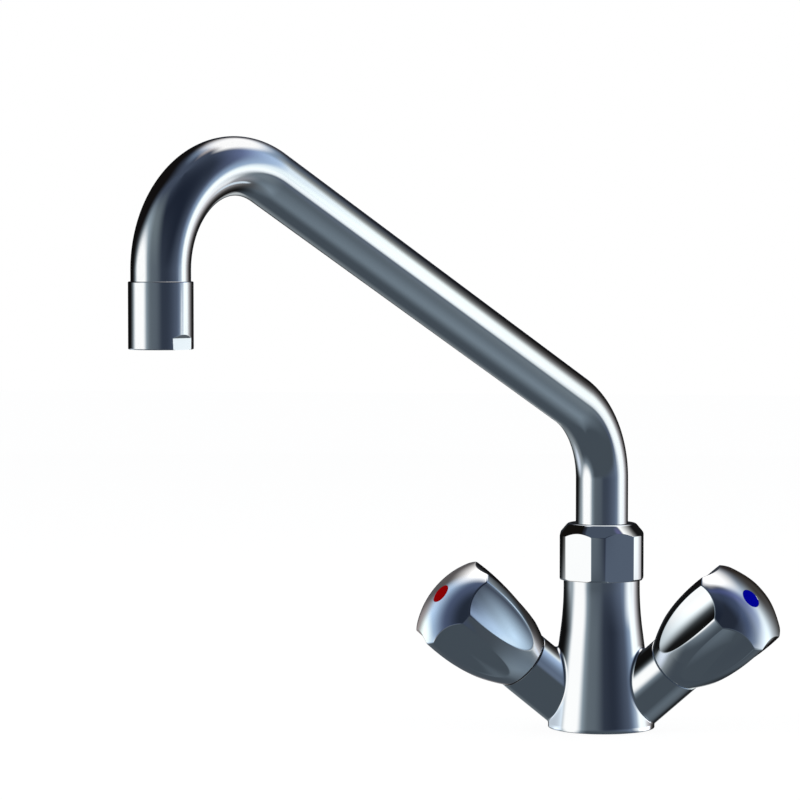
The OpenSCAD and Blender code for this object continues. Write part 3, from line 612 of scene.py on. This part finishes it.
for vert in housing_bm.verts:
    if vert.co.z < ledge_z + FLAT_RUNOUT and hypot(vert.co.x, vert.co.y) > INSERT_BORE_R:
        runout_share = max(vert.co.z - ledge_z, 0) / FLAT_RUNOUT
        half = FLAT_HALF + (AERATOR_R - FLAT_HALF) * runout_share
        vert.co.x = max(-half, min(half, vert.co.x))
bmesh.ops.rotate(housing_bm, cent=(0, 0, 0), matrix=Matrix.Rotation(radians(FLAT_TURN), 3, "Z"),
                 verts=housing_bm.verts)
bmesh.ops.transform(housing_bm, matrix=spout_turn @ Matrix.Translation((reach, 0, 0)),
                    verts=housing_bm.verts)
finish(housing_bm, "aerator_housing_skin", "spout", ["aerator_housing"], CHROME, crease=18)

# %% [markdown]
# A handle is a turned knob with six finger hollows. The hollows are scooped by a large round cutter,
# and where a hollow meets the side it leaves a crisp ridge. A grid that ignores the ridges would show
# them as steps in the mirror finish, so here one line of the grid follows each ridge and one row
# follows the rim of the dome. First come the three surfaces, each as a radius at a height on the
# neck's axis.

# %% Describe the handle's surfaces
GRIP_R, GRIP_AT, GRIP_CURVE_R = 21.1, 85.75, 81.0
DOME_AT, DOME_R, SKIRT_AT = 98.8, 36.0, 50.7
HOLLOW_COUNT, HOLLOW_REACH, HOLLOW_R, HOLLOW_CURVE_R, HANDLE_PHASE = 6, 18.2, 30.0, 173.0, 13.0
HOLLOW_PASSES, SOLVE_HALVINGS = 12, 32
SECTOR = 360 / HOLLOW_COUNT
dome_centre = DOME_AT - DOME_R


def side_radius(t):
    """Radius of the handle's side curve."""
    return GRIP_R - GRIP_CURVE_R + sqrt(GRIP_CURVE_R ** 2 - (t - GRIP_AT) ** 2)


def dome_radius(t):
    """Radius of the dome at a height."""
    return sqrt(max(DOME_R ** 2 - (t - dome_centre) ** 2, 0))


def hollow_radius(turn, t):
    """Radius of a finger hollow at an angle in degrees from its middle."""
    r = HOLLOW_REACH
    for _ in range(HOLLOW_PASSES):
        across = r * sin(radians(turn))
        cutter = HOLLOW_CURVE_R + HOLLOW_R - sqrt(HOLLOW_R ** 2 - across ** 2)
        depth = HOLLOW_REACH - HOLLOW_CURVE_R + sqrt(cutter ** 2 - (t - GRIP_AT) ** 2)
        r = depth / cos(radians(turn))
    return r


def solve(function, low, high):
    """Where a function that is positive at low changes sign."""
    for _ in range(SOLVE_HALVINGS):
        middle = (low + high) / 2
        low, high = (middle, high) if function(middle) > 0 else (low, middle)
    return (low + high) / 2


def ridge_turn(t):
    """Angle in degrees from a hollow's middle to its ridge at a height."""
    if hollow_radius(0, t) >= side_radius(t):
        return 0.0
    return solve(lambda turn: side_radius(t) - hollow_radius(turn, t), 0.0, SECTOR / 2)


print("ridges at", [round(ridge_turn(t), 1) for t in (60, 66, 72, 78, 84, 90)],
      "degrees from a hollow's middle")

# %% Lay out the handle's grid
HALF_LINES, RIDGE_LINE, SIDE_ROWS, DOME_ROWS = 18, 12, 90, 30
RIDGE_SOFT, RIDGE_LEAST, RIDGE_ROUND = 0.75, 2.5, 0.18
RIM_LOW, RIM_GUESS, RIM_HIGH, RIM_PASSES = 88.0, 91.0, 96.0, 4
BUTTON_R = 4.25
POCKET_R = BUTTON_R + 0.05


def line_turn(line, ridge):
    """Angle of a grid line, 0 to HALF_LINES, when the ridge is at the given angle."""
    ridge = max(ridge, RIDGE_LEAST)
    inner, outer = ridge - RIDGE_SOFT, ridge + RIDGE_SOFT
    if line <= RIDGE_LINE - 1:
        return inner * line / (RIDGE_LINE - 1)
    if line == RIDGE_LINE:
        return ridge
    last = HALF_LINES - RIDGE_LINE - 1
    return outer + (SECTOR / 2 - outer) * (line - RIDGE_LINE - 1) / last


def soft_min(a, b, width):
    """The smaller of two radii, with the corner between them rounded."""
    blend = max(width - abs(a - b), 0) / width
    return min(a, b) - blend * blend * width / 4


def rim_height(turn):
    """Height at which the side or a hollow meets the dome."""
    return solve(lambda t: dome_radius(t) - min(side_radius(t), hollow_radius(turn, t)), RIM_LOW, RIM_HIGH)


def side_spot(line, share):
    """Angle, radius and height of a grid point on the side, share 0 at the skirt and 1 at the rim."""
    turn = line_turn(line, ridge_turn(RIM_GUESS))
    for _ in range(RIM_PASSES):
        t = SKIRT_AT + share * (rim_height(turn) - SKIRT_AT)
        turn = line_turn(line, ridge_turn(t))
    return turn, soft_min(side_radius(t), hollow_radius(turn, t), RIDGE_ROUND), t


def dome_spot(line, share):
    """The same on the dome, share 0 at the rim and 1 at the button's pocket."""
    turn, rim_r, _ = side_spot(line, 1.0)
    r = rim_r + (POCKET_R - rim_r) * share
    return turn, r, dome_centre + sqrt(DOME_R ** 2 - r * r)


side_shares = [k / SIDE_ROWS for k in range(SIDE_ROWS)]
dome_shares = [k / DOME_ROWS for k in range(1, DOME_ROWS + 1)]
print("grid of", 2 * HALF_LINES * HOLLOW_COUNT, "lines and", len(side_shares) + len(dome_shares), "rows")

# %% [markdown]
# The rim and the skirt get a small round edge: chrome plating never leaves a knife edge, and the thin
# bright line along such an edge is what makes metal look like metal. The inside has the skirt's bore,
# the hub with the bore for the spindle and the well for the handle screw.

# %% Shape a handle
SKIRT_BORE_R, SKIRT_BORE_END = 11.92, 59.5
CAVITY_CURVE_R, DOME_WALL = 76.7, 2.4
HUB_R, HUB_FOOT, SPLINE_R, SPLINE_END = 6.5, 65.4, 4.05, 75.8
SCREW_R, SCREW_SEAT, WELL_R, BUTTON_FOOT = 2.05, 79.8, 3.65, 96.55
RIM_SOFT, SKIRT_SOFT, SKIRT_SOFT_W, SKIRT_SOFT_NEAR = 0.4, 0.3, 0.25, 0.07
BORE_BREAK, BORE_BREAK_W = 0.3, 0.15
CAVITY_HEIGHTS, CAVITY_RADII = range(60, 90, 3), (16, 13, 10)


def cavity_outline():
    """Inside of the handle from the skirt's bore to the hub."""
    middle_r, inner_dome = GRIP_R - GRIP_CURVE_R, DOME_R - DOME_WALL
    side = [(middle_r + sqrt(CAVITY_CURVE_R ** 2 - (t - GRIP_AT) ** 2), t) for t in CAVITY_HEIGHTS]
    return side + [(r, dome_centre + sqrt(inner_dome ** 2 - r * r)) for r in (*CAVITY_RADII, HUB_R)]


inside = [(SKIRT_BORE_R, SKIRT_AT + BORE_BREAK), (SKIRT_BORE_R, SKIRT_BORE_END)] + cavity_outline()
inside += [(HUB_R, HUB_FOOT), (SPLINE_R, HUB_FOOT), (SPLINE_R, SPLINE_END), (SCREW_R, SPLINE_END),
           (SCREW_R, SCREW_SEAT), (WELL_R, SCREW_SEAT), (WELL_R, BUTTON_FOOT), (POCKET_R, BUTTON_FOOT)]


def handle_line(line):
    """Every grid point of one line of the handle, in order round its section."""
    skirt_r = side_radius(SKIRT_AT)
    skirt = [(None, SKIRT_BORE_R + BORE_BREAK_W, SKIRT_AT), (None, skirt_r - SKIRT_SOFT_W, SKIRT_AT),
             (None, skirt_r - SKIRT_SOFT_NEAR, SKIRT_AT + SKIRT_SOFT_NEAR)]
    side = [side_spot(line, share) for share in side_shares if share > 0]
    side.insert(0, side_spot(line, SKIRT_SOFT / (GRIP_AT - SKIRT_AT)))
    turn, rim_r, rim_t = side_spot(line, 1.0)
    below = side_spot(line, 1 - RIM_SOFT / (rim_t - SKIRT_AT))
    above_r = rim_r - RIM_SOFT
    above = (turn, above_r, dome_centre + sqrt(DOME_R ** 2 - above_r ** 2))
    corner = (turn, (below[1] + 2 * rim_r + above[1]) / 4, (below[2] + 2 * rim_t + above[2]) / 4)
    dome = [dome_spot(line, share) for share in dome_shares]
    pocket = [(None, r, t) for r, t in reversed(inside)]
    return skirt + side + [below, corner, above] + dome + pocket


def shape_handle(side):
    """Spins a plain section and then moves every point to its place on the grid."""
    bm = bmesh.new()
    lines = [handle_line(line) for line in range(HALF_LINES + 1)]
    row = lathe(bm, [(r, t) for _, r, t in lines[0]], 2 * HALF_LINES * HOLLOW_COUNT)
    step = SECTOR / (2 * HALF_LINES)
    for vert in bm.verts:
        column = round(degrees(atan2(vert.co.y, vert.co.x)) / step)
        hollow, offset = divmod(column + HALF_LINES, 2 * HALF_LINES)
        offset -= HALF_LINES
        turn, r, t = lines[abs(offset)][vert[row]]
        if turn is None:
            turn = abs(offset) * step
        angle = radians(hollow * SECTOR + (turn if offset > 0 else -turn))
        vert.co = (r * cos(angle), r * sin(angle), t)
    phase = Matrix.Rotation(radians(SECTOR / 2 - side * HANDLE_PHASE), 4, "Z")
    bmesh.ops.transform(bm, matrix=neck_frame(side) @ phase, verts=bm.verts)
    return bm


print("one line round a handle's section has", len(handle_line(0)), "points")

# %% [markdown]
# The index button is a small enamelled disc, flush with the dome, with a stem that is pressed into the
# handle. Its top follows the dome, and a hair of the pocket shows round it as a thin line.

# %% Shape an index button
BUTTON_SINK, BUTTON_STEM_R, BUTTON_STEM_FOOT = 0.03, 3.6, 90.55
BUTTON_SOFT, BUTTON_SOFT_NEAR, BUTTON_ROWS, BUTTON_STEPS = 0.1, 0.03, 8, 96


def shape_button(side):
    """Spins a button with its stem."""
    bm = bmesh.new()
    radii = [(BUTTON_R - BUTTON_SOFT) * k / BUTTON_ROWS for k in range(BUTTON_ROWS, -1, -1)]
    top = [(r, dome_centre + sqrt((DOME_R - BUTTON_SINK) ** 2 - r * r)) for r in radii]
    brim = top[0][1]
    outline = [(0, BUTTON_STEM_FOOT), (BUTTON_STEM_R, BUTTON_STEM_FOOT), (BUTTON_STEM_R, BUTTON_FOOT),
               (BUTTON_R, BUTTON_FOOT), (BUTTON_R, brim - BUTTON_SOFT),
               (BUTTON_R - BUTTON_SOFT_NEAR, brim - BUTTON_SOFT_NEAR)]
    lathe(bm, outline + top, BUTTON_STEPS, closed=False)
    bmesh.ops.transform(bm, matrix=neck_frame(side), verts=bm.verts)
    return bm


for word, neck_side in SIDES.items():
    finish(shape_handle(neck_side), word + "_handle_skin", word + "_knob", [word + "_handle"], CHROME,
           crease=40)
    tint, tint_slot = (RED, "hot_red") if word == "hot" else (BLUE, "cold_blue")
    finish(shape_button(neck_side), word + "_button_skin", word + "_knob", [word + "_index_button"], tint)

# %% [markdown]
# The other pieces keep their CAD meshes. They sit inside the faucet, or show only a narrow edge,
# and each gets the finish of its own slot in the record.

# %% Dress the inner pieces
SLOT_FINISH = {"chrome": CHROME, "brass": BRASS, "rubber": RUBBER, "white_plastic": PLASTIC,
               "fibre": FIBRE, "steel": STEEL, "hot_red": RED, "cold_blue": BLUE}
for part in frame["record"]["subparts"]:
    node = frame["nodes"][part["node"]]
    finish_here = SLOT_FINISH[part["material_slot"]]
    if not node.material_slots:
        node.data.materials.append(finish_here)
    for place in node.material_slots:
        place.material = finish_here

# %% [markdown]
# Chrome has almost no colour of its own: what it shows is the room. In the photograph every plated piece
# shows the same room and none shows its neighbours, so the pieces are hidden from mirror rays.
# They still shade the floor and each other's matt parts.

# %% Hide the pieces from mirrors
pieces = [thing for thing in bpy.data.objects if thing.type == "MESH"]
for thing in pieces:
    thing.visible_glossy = False
print(len(pieces), "pieces are hidden from mirror rays")

# %% [markdown]
# The studio is a white room. Its parts are stage things: they light the faucet but are no part of it.

# %% Build the studio
FLOOR_Z = -0.0004
ROOM_TINT, ROOM_LIGHT = (0.93, 0.96, 1.0), 0.6


def make_stage(name, bm, material, to_camera, to_mirror, to_matt):
    """A stage thing in metres that only some kinds of ray can see."""
    mesh = bpy.data.meshes.new(name)
    bm.to_mesh(mesh)
    bm.free()
    mesh.materials.append(material)
    thing = bpy.data.objects.new(name, mesh)
    bpy.context.collection.objects.link(thing)
    thing.visible_camera = to_camera
    thing.visible_glossy = to_mirror
    thing.visible_transmission = to_mirror
    thing.visible_diffuse = to_matt
    thing.visible_shadow = False
    return thing


def seen_directly(tree):
    """1 for rays that show a background: camera, mirror and glass rays."""
    path = tree.nodes.new("ShaderNodeLightPath")
    seen = path.outputs["Is Camera Ray"]
    for kind in ("Is Glossy Ray", "Is Transmission Ray"):
        either = tree.nodes.new("ShaderNodeMath")
        either.operation = "MAXIMUM"
        link(tree, seen, either.inputs[0])
        link(tree, path.outputs[kind], either.inputs[1])
        seen = either.outputs[0]
    return seen


world = bpy.data.worlds.new("white room")
bpy.context.scene.world = world
world.use_nodes = True
room = world.node_tree
plain_light = room.nodes["Background"]
plain_light.inputs["Color"].default_value = (*ROOM_TINT, 1)
plain_light.inputs["Strength"].default_value = ROOM_LIGHT
white = room.nodes.new("ShaderNodeBackground")
white.inputs["Strength"].default_value = 1.0
white.inputs["Color"].default_value = (1, 1, 1, 1)
choose = room.nodes.new("ShaderNodeMixShader")
link(room, seen_directly(room), choose.inputs[0])
link(room, plain_light.outputs[0], choose.inputs[1])
link(room, white.outputs[0], choose.inputs[2])
link(room, choose.outputs[0], room.nodes["World Output"].inputs["Surface"])
print("the room is white to the camera and gives plain light of strength", ROOM_LIGHT)

# %% [markdown]
# The room that the chrome shows is painted on a tent round the faucet, which only mirror rays can see.
# It is painted in layers, like a stage backdrop: first a plain slate room, then soft patches over it.
# The white lights on the left and right give the bright stripes, and the dark shades beside them give the
# stripes their contrast. A place on the tent is a heading, counted from the camera and growing to the
# right, and a height, both in degrees. Headings run on past 180 behind the faucet.
# The patches were first placed one by one. A least squares program then fitted the tent and the places,
# sizes and colours of its patches to the stripes in the photograph, and the next cell holds the rounded
# results. Some of the nut's patches and the body's one were set without the fit.

# %% List the lights and shades of the room
TENT_CENTRE = (-0.08, -0.68, -0.27)
TENT_R = 2.46
LOW_ROOM, HIGH_ROOM = (0.051, 0.056, 0.057), (0.062, 0.080, 0.12)
ROOM_FOOT, ROOM_RISE = -20, 60

# Name, heading, height, half width, half height, slant, squareness, softness, glow
PATCHES = (
    ("front shade", 34, 1, 79, 39, -10, 2, 0.82, (0.24, 0.31, 0.44)),
    ("dark above front", 18, 37, 97, 53, 13, 2, 0.59, (0.014, 0.020, 0.036)),
    ("slate disc", -56, 4, 55, 59, -3, 2, 0.30, (0.18, 0.22, 0.24)),
    ("slate disc shade", -13, 3, 18, 15, 8, 2, 3.95, (0.068, 0.087, 0.12)),
    ("floor front", 0, -58, 378, 58, -1, 2, 0.09, (0.064, 0.082, 0.10)),
    ("right floor glow", 124, -47, 23, 18, -17, 2, 1.61, (0.23, 0.29, 0.34)),
    ("left floor haze", -132, 1, 38, 29, 15, 2, 0.42, (0.30, 0.34, 0.36)),
    ("left floor glow", -134, -9, 12, 8, 16, 2, 0.85, (0.75, 0.83, 0.94)),
    ("left softbox glow", -83, 12, 21, 24, 25, 2, 1.34, (0.68, 0.83, 0.94)),
    ("left softbox", -84, 9, 25, 25, 10, 2, 0.39, (1.18, 1.17, 1.14)),
    ("left black", -141, 36, 39, 27, 23, 3, 0.42, (0.007, 0.006, 0.006)),
    ("left black low", -146, 11, 30, 10, 13, 3, 0.52, (0.005, 0.005, 0.005)),
    ("behind left white", 170, 52, 14, 14, -47, 3, 0.82, (0.77, 0.66, 0.60)),
    ("right mid blue", 97, 7, 14, 22, 6, 2, 0.26, (0.069, 0.090, 0.14)),
    ("periwinkle", 130, 33, 15, 14, -11, 2, 1.67, (0.25, 0.32, 0.59)),
    ("window glow", 141, 34, 47, 12, 30, 2, 0.79, (0.48, 0.65, 0.88)),
    ("right window", 129, 12, 23, 14, 31, 4, 0.28, (1.19, 1.29, 1.26)),
    ("right window low", 137, -1, 41, 7, -6, 4, 0.36, (1.18, 1.24, 1.25)),
    ("below window", 112, -14, 11, 10, 26, 4, 0.91, (0.18, 0.22, 0.25)),
    ("back dark", 152, 4, 21, 31, -2, 4, 0.42, (0.007, 0.006, 0.006)),
    ("back grey", 143, -5, 9, 27, -2, 4, 1.16, (0.079, 0.075, 0.073)),
    ("back edge", 132, 1, 4, 7, 1, 4, 3.92, (0.85, 0.82, 0.84)),
    ("low strip", 135, -14, 3, 11, 6, 4, 0.29, (0.70, 0.80, 0.88)),
    ("back white", 160, 51, 24, 12, -8, 5, 0.40, (1.17, 1.14, 1.11)),
)
# Painted over the others, each list for one piece only
PIECE_PATCHES = {
    "hot_handle_skin": (
        ("hot navy", -96, 38, 153, 33, -28, 2, 0.11, (0.082, 0.11, 0.19)),
        ("hot dusk", -56, 42, 106, 33, -40, 2, 0.47, (0.021, 0.029, 0.047)),
        ("hot plain low", -130, -23, 152, 8.2, 3, 2, 2.71, (0.069, 0.083, 0.10)),
        ("hot sky haze", -151, 27, 47, 13.4, -39, 2, 1.48, (0.74, 1.00, 1.31)),
        ("hot sky", -142, 6, 18.5, 10.5, -1, 2, 0.57, (1.19, 1.31, 1.26)),
        ("hot behind", -172, 34, 19.3, 36, 23, 2, 0.49, (0.11, 0.10, 0.10)),
        ("hot rim light", -164, 3, 15.5, 2.5, 44, 2, 2.56, (0.43, 0.36, 0.35)),
        ("hot white above", -173, 52, 17.0, 17.5, 29, 4, 0.70, (1.73, 1.67, 1.61)),
        ("hot dark behind", 135, 19, 15.1, 12.0, -19, 2, 0.89, (0.005, 0.003, 0.002)),
        ("hot ridge light", 128, -3, 3.5, 6.5, 34, 2, 0.63, (0.88, 0.95, 1.05)),
        ("hot right slate", 78, 5, 47, 12.7, 8, 2, 0.31, (0.016, 0.018, 0.040)),
        ("hot right sky", 105, 14, 4.9, 1.7, 17, 2, 9.08, (1.20, 1.58, 1.92)),
        ("hot right floor", 121, -33, 14.2, 11.2, 17, 2, 3.00, (0.20, 0.26, 0.32)),
    ),
    "cold_handle_skin": (
        ("cold navy", 74, 44, 70, 10.2, 16, 2, 0.25, (0.021, 0.028, 0.045)),
        ("cold dusk", 105, 27, 12.0, 29, -14, 2, 1.19, (0.077, 0.11, 0.20)),
        ("cold sky", 125, 11, 7.3, 13.6, -26, 2, 3.67, (1.42, 1.63, 1.77)),
        ("cold violet", 122, 46, 3.8, 15.5, -16, 2, 2.81, (0.11, 0.14, 0.35)),
        ("cold white above", 158, 51, 11.9, 8.6, -39, 4, 1.05, (1.69, 1.66, 1.63)),
        ("cold grey behind", 150, 23, 15.2, 17.1, -46, 2, 1.32, (0.042, 0.033, 0.026)),
        ("cold left black", -143, 15, 13.8, 15.4, -5, 3, 0.12, (0.008, 0.008, 0.008)),
        ("cold left white", -90, 22, 19.3, 4.3, 34, 2, 2.56, (1.42, 1.54, 1.55)),
        ("cold floor", 61, -59, 176, 11.7, 7, 2, 0.83, (0.057, 0.073, 0.092)),
    ),
    "union_nut_skin": (
        ("nut lip light", 180, 52, 42, 22, 0, 4, 0.15, (1.2, 1.25, 1.3)),
        ("nut top slate", 20, 78, 360, 19, -2, 2, 0.11, (0.070, 0.092, 0.13)),
        ("nut black left", -124, 37, 48, 22, 0, 4, 0.05, (0.007, 0.006, 0.005)),
        ("nut violet", 112, 58, 7, 6, 0, 2, 0.60, (0.13, 0.14, 0.27)),
        ("nut white right", 134, 39, 22, 14, -42, 4, 0.12, (1.5, 1.5, 1.45)),
        ("nut dark right", 158, 20, 40, 12, -42, 2, 0.55, (0.01, 0.01, 0.01)),
        ("nut side slate", 81, 17, 21, 48, -3, 2, 0.28, (0.10, 0.13, 0.18)),
        ("nut floor left", -107, -55, 36, 60, 14, 2, 0.30, (0.51, 0.48, 0.44)),
        ("nut floor right", 110, -60, 20, 20, 0, 2, 0.60, (0.60, 0.65, 0.70)),
    ),
    "body_casting_skin": (
        ("cold mouth shade", 134.4, 33, 3.5, 3, 0, 2, 0.30, (0.050, 0.070, 0.092)),
    ),
}
print(len(PATCHES), "patches for all and", sum(map(len, PIECE_PATCHES.values())), "for single pieces")

# %% Mix the patches
def ease(share):
    """Goes smoothly from 0 to 1."""
    share = np.clip(share, 0, 1)
    return share * share * (3 - 2 * share)


def patch_cover(patch, heading, height):
    """How much of each place on the tent a patch covers, from 0 to 1."""
    _, middle, level, half_w, half_h, slant, square, soft, _ = patch
    across, up = (heading - middle + 180) % 360 - 180, height - level
    c, s = cos(radians(slant)), sin(radians(slant))
    u, v = np.abs(across * c + up * s) / half_w, np.abs(up * c - across * s) / half_h
    return ease((1 + soft - (u ** square + v ** square) ** (1 / square)) / (2 * soft))


def room_glow(patches, heading, height):
    """Colours of the room at places given by their headings and heights in degrees."""
    low, high = np.array(LOW_ROOM), np.array(HIGH_ROOM)
    glow = low + (high - low) * ease((height - ROOM_FOOT) / ROOM_RISE)[:, None]
    for patch in patches:
        glow = glow + (np.array(patch[-1]) - glow) * patch_cover(patch, heading, height)[:, None]
    return glow


towards_camera = room_glow(PATCHES, np.array([0.0]), np.array([0.0]))[0]
print("towards the camera the room glows", towards_camera.round(2))

# %% [markdown]
# The patches are worked out once for every point of a fine sphere and stored on it as a colour.
# The tent's material only has to read that colour and glow with it.
# A product photographer often flags a light for one part of the subject. Here the nut, the handles and
# the body each get a tent of their own with a few more patches. Light linking lets only that piece see it,
# and the rest see the plain tent. The inner tents are clear, so that mirror rays go on to the outer one.

# %% Paint the tents
TENT_LINES, TENT_ROWS, TENT_STEP = 320, 160, 0.01
camera_heading = atan2(CAMERA_PLACE[1], CAMERA_PLACE[0])


def make_tent_light(name, clear):
    """A material that glows with the painted colour and, if clear, lets rays through as well."""
    material = bpy.data.materials.new(name)
    material.use_nodes = True
    tree = material.node_tree
    tree.nodes.clear()
    painted = tree.nodes.new("ShaderNodeVertexColor")
    painted.layer_name = "glow"
    light = tree.nodes.new("ShaderNodeEmission")
    output = tree.nodes.new("ShaderNodeOutputMaterial")
    link(tree, painted.outputs["Color"], light.inputs["Color"])
    if clear:
        glass = tree.nodes.new("ShaderNodeBsdfTransparent")
        both = tree.nodes.new("ShaderNodeAddShader")
        link(tree, light.outputs[0], both.inputs[0])
        link(tree, glass.outputs[0], both.inputs[1])
        link(tree, both.outputs[0], output.inputs["Surface"])
    else:
        link(tree, light.outputs[0], output.inputs["Surface"])
    return material


def hang_tent(name, patches, radius, clear):
    """A sphere painted with the room, seen by mirror rays only."""
    bm = bmesh.new()
    bmesh.ops.create_uvsphere(bm, u_segments=TENT_LINES, v_segments=TENT_ROWS, radius=radius)
    places = np.array([vert.co[:] for vert in bm.verts])
    heading = np.degrees(np.arctan2(places[:, 1], places[:, 0]) - camera_heading)
    height = np.degrees(np.arcsin(np.clip(places[:, 2] / radius, -1, 1)))
    glow_layer = bm.verts.layers.float_color.new("glow")
    for vert, glow in zip(bm.verts, room_glow(patches, heading, height)):
        vert[glow_layer] = (*glow, 1)
    bmesh.ops.translate(bm, verts=bm.verts, vec=TENT_CENTRE)
    bmesh.ops.reverse_faces(bm, faces=bm.faces)
    return make_stage(name, bm, make_tent_light(name + " light", clear), to_camera=False, to_mirror=True,
                      to_matt=False)


def link_light(tent, pieces, state):
    """INCLUDE lets a tent shine on these pieces only, EXCLUDE on all others."""
    group = bpy.data.collections.new(tent.name + " viewers")
    for index, piece in enumerate(pieces):
        group.objects.link(piece)
        group.collection_objects[index].light_linking.link_state = state
    tent.light_linking.receiver_collection = group


room_tent = hang_tent("room_tent", PATCHES, TENT_R, clear=False)
special_pieces = [bpy.data.objects[name] for name in PIECE_PATCHES]
link_light(room_tent, special_pieces, "EXCLUDE")
for index, piece in enumerate(special_pieces):
    patches = PATCHES + PIECE_PATCHES[piece.name]
    tent = hang_tent(piece.name + "_tent", patches, TENT_R - TENT_STEP * (index + 1), clear=True)
    link_light(tent, [piece], "INCLUDE")
print("one tent for the room and", len(special_pieces), "for single pieces,", 2 * TENT_R, "m wide")

# %% [markdown]
# The foot of the body shows two lights that the column above it doesn't. A far light can't do that,
# because the column and its foot lean almost the same way. A near one can: two low strips of card curve
# round the back of the base. Mirror rays from the foot run into them, and those from the column pass
# above.

# %% Stand two cards by the base
CARD_R, CARD_STEPS, CARD_FADE = 90.0, 33, 8.0


def stand_card(name, start, end, foot, top, glow):
    """A glowing strip from one heading to another that only the body shows."""
    bm = bmesh.new()
    turn = camera_heading + radians(start)
    ends = [bm.verts.new((CARD_R * MM * cos(turn), CARD_R * MM * sin(turn), z * MM)) for z in (foot, top)]
    bmesh.ops.spin(bm, geom=ends + [bm.edges.new(ends)], cent=(0, 0, 0), axis=(0, 0, 1),
                   angle=radians(end - start), steps=CARD_STEPS, use_merge=False, use_duplicate=False)
    glow_layer = bm.verts.layers.float_color.new("glow")
    for vert in bm.verts:
        heading = (degrees(atan2(vert.co.y, vert.co.x) - camera_heading) + 180) % 360 - 180
        from_end = min(abs(heading - start), abs(heading - end))
        vert[glow_layer] = (*(np.array(glow) * ease(from_end / CARD_FADE)), 1)
    card = make_stage(name, bm, make_tent_light(name + " light", clear=True), to_camera=False,
                      to_mirror=True, to_matt=False)
    link_light(card, [body_piece], "INCLUDE")


stand_card("left_card", -82, -146, -14, 22, (0.57, 0.64, 0.71))
stand_card("right_card", 76, 122, -15, -3, (0.85, 0.88, 0.92))
print("two cards stand", CARD_R, "mm from the middle of the base")

# %% [markdown]
# The floor is pale and plain. The camera sees it almost as white as the background, and a small share of
# its own shading is kept, so that the faucet still stands on a soft shadow.

# %% Lay the floor and hang the lamps
FLOOR_SIZE, FLOOR_PAINT, FLOOR_ROUGH = 6.0, 0.9, 0.9
FLOOR_GLOW, GLOW_SHARE = 1.04, 0.9
LAMP_AIM, LAMP_WIDTH, LAMP_HEIGHT = (-0.07, -0.1, 0.12), 0.5, 1.2


def make_floor_paint():
    """Pale paint, mixed with plain white for the rays that show a background."""
    material = bpy.data.materials.new("pale floor")
    material.use_nodes = True
    tree = material.node_tree
    paint = tree.nodes["Principled BSDF"]
    paint.inputs["Base Color"].default_value = (FLOOR_PAINT, FLOOR_PAINT, FLOOR_PAINT, 1)
    paint.inputs["Roughness"].default_value = FLOOR_ROUGH
    glow = tree.nodes.new("ShaderNodeEmission")
    glow.inputs["Strength"].default_value = FLOOR_GLOW
    weight = tree.nodes.new("ShaderNodeMath")
    weight.operation = "MULTIPLY"
    weight.inputs[1].default_value = GLOW_SHARE
    choose_floor = tree.nodes.new("ShaderNodeMixShader")
    link(tree, seen_directly(tree), weight.inputs[0])
    link(tree, weight.outputs[0], choose_floor.inputs[0])
    link(tree, paint.outputs[0], choose_floor.inputs[1])
    link(tree, glow.outputs[0], choose_floor.inputs[2])
    link(tree, choose_floor.outputs[0], tree.nodes["Material Output"].inputs["Surface"])
    return material


floor_bm = bmesh.new()
bmesh.ops.create_grid(floor_bm, x_segments=1, y_segments=1, size=FLOOR_SIZE / 2,
                      matrix=Matrix.Translation((0, 0, FLOOR_Z)))
make_stage("floor", floor_bm, make_floor_paint(), to_camera=True, to_mirror=False, to_matt=True)


def hang_lamp(name, place, power):
    """A soft rectangular lamp that looks at the faucet's middle."""
    lamp = bpy.data.lights.new(name, "AREA")
    lamp.shape = "RECTANGLE"
    lamp.size, lamp.size_y = LAMP_WIDTH, LAMP_HEIGHT
    lamp.energy = power
    holder = bpy.data.objects.new(name, lamp)
    holder.location = place
    holder.rotation_euler = (Vector(LAMP_AIM) - Vector(place)).to_track_quat("-Z", "Y").to_euler()
    holder.visible_glossy = False
    bpy.context.collection.objects.link(holder)


hang_lamp("left_softbox", (-1.3, -0.7, 0.7), 14)
hang_lamp("right_softbox", (1.4, -0.3, 0.6), 12)
print("floor and two soft lamps are in place")

# %% [markdown]
# The last cell leaves the colours as they are.

# %% Finish
bpy.context.scene.view_settings.view_transform = "Standard"
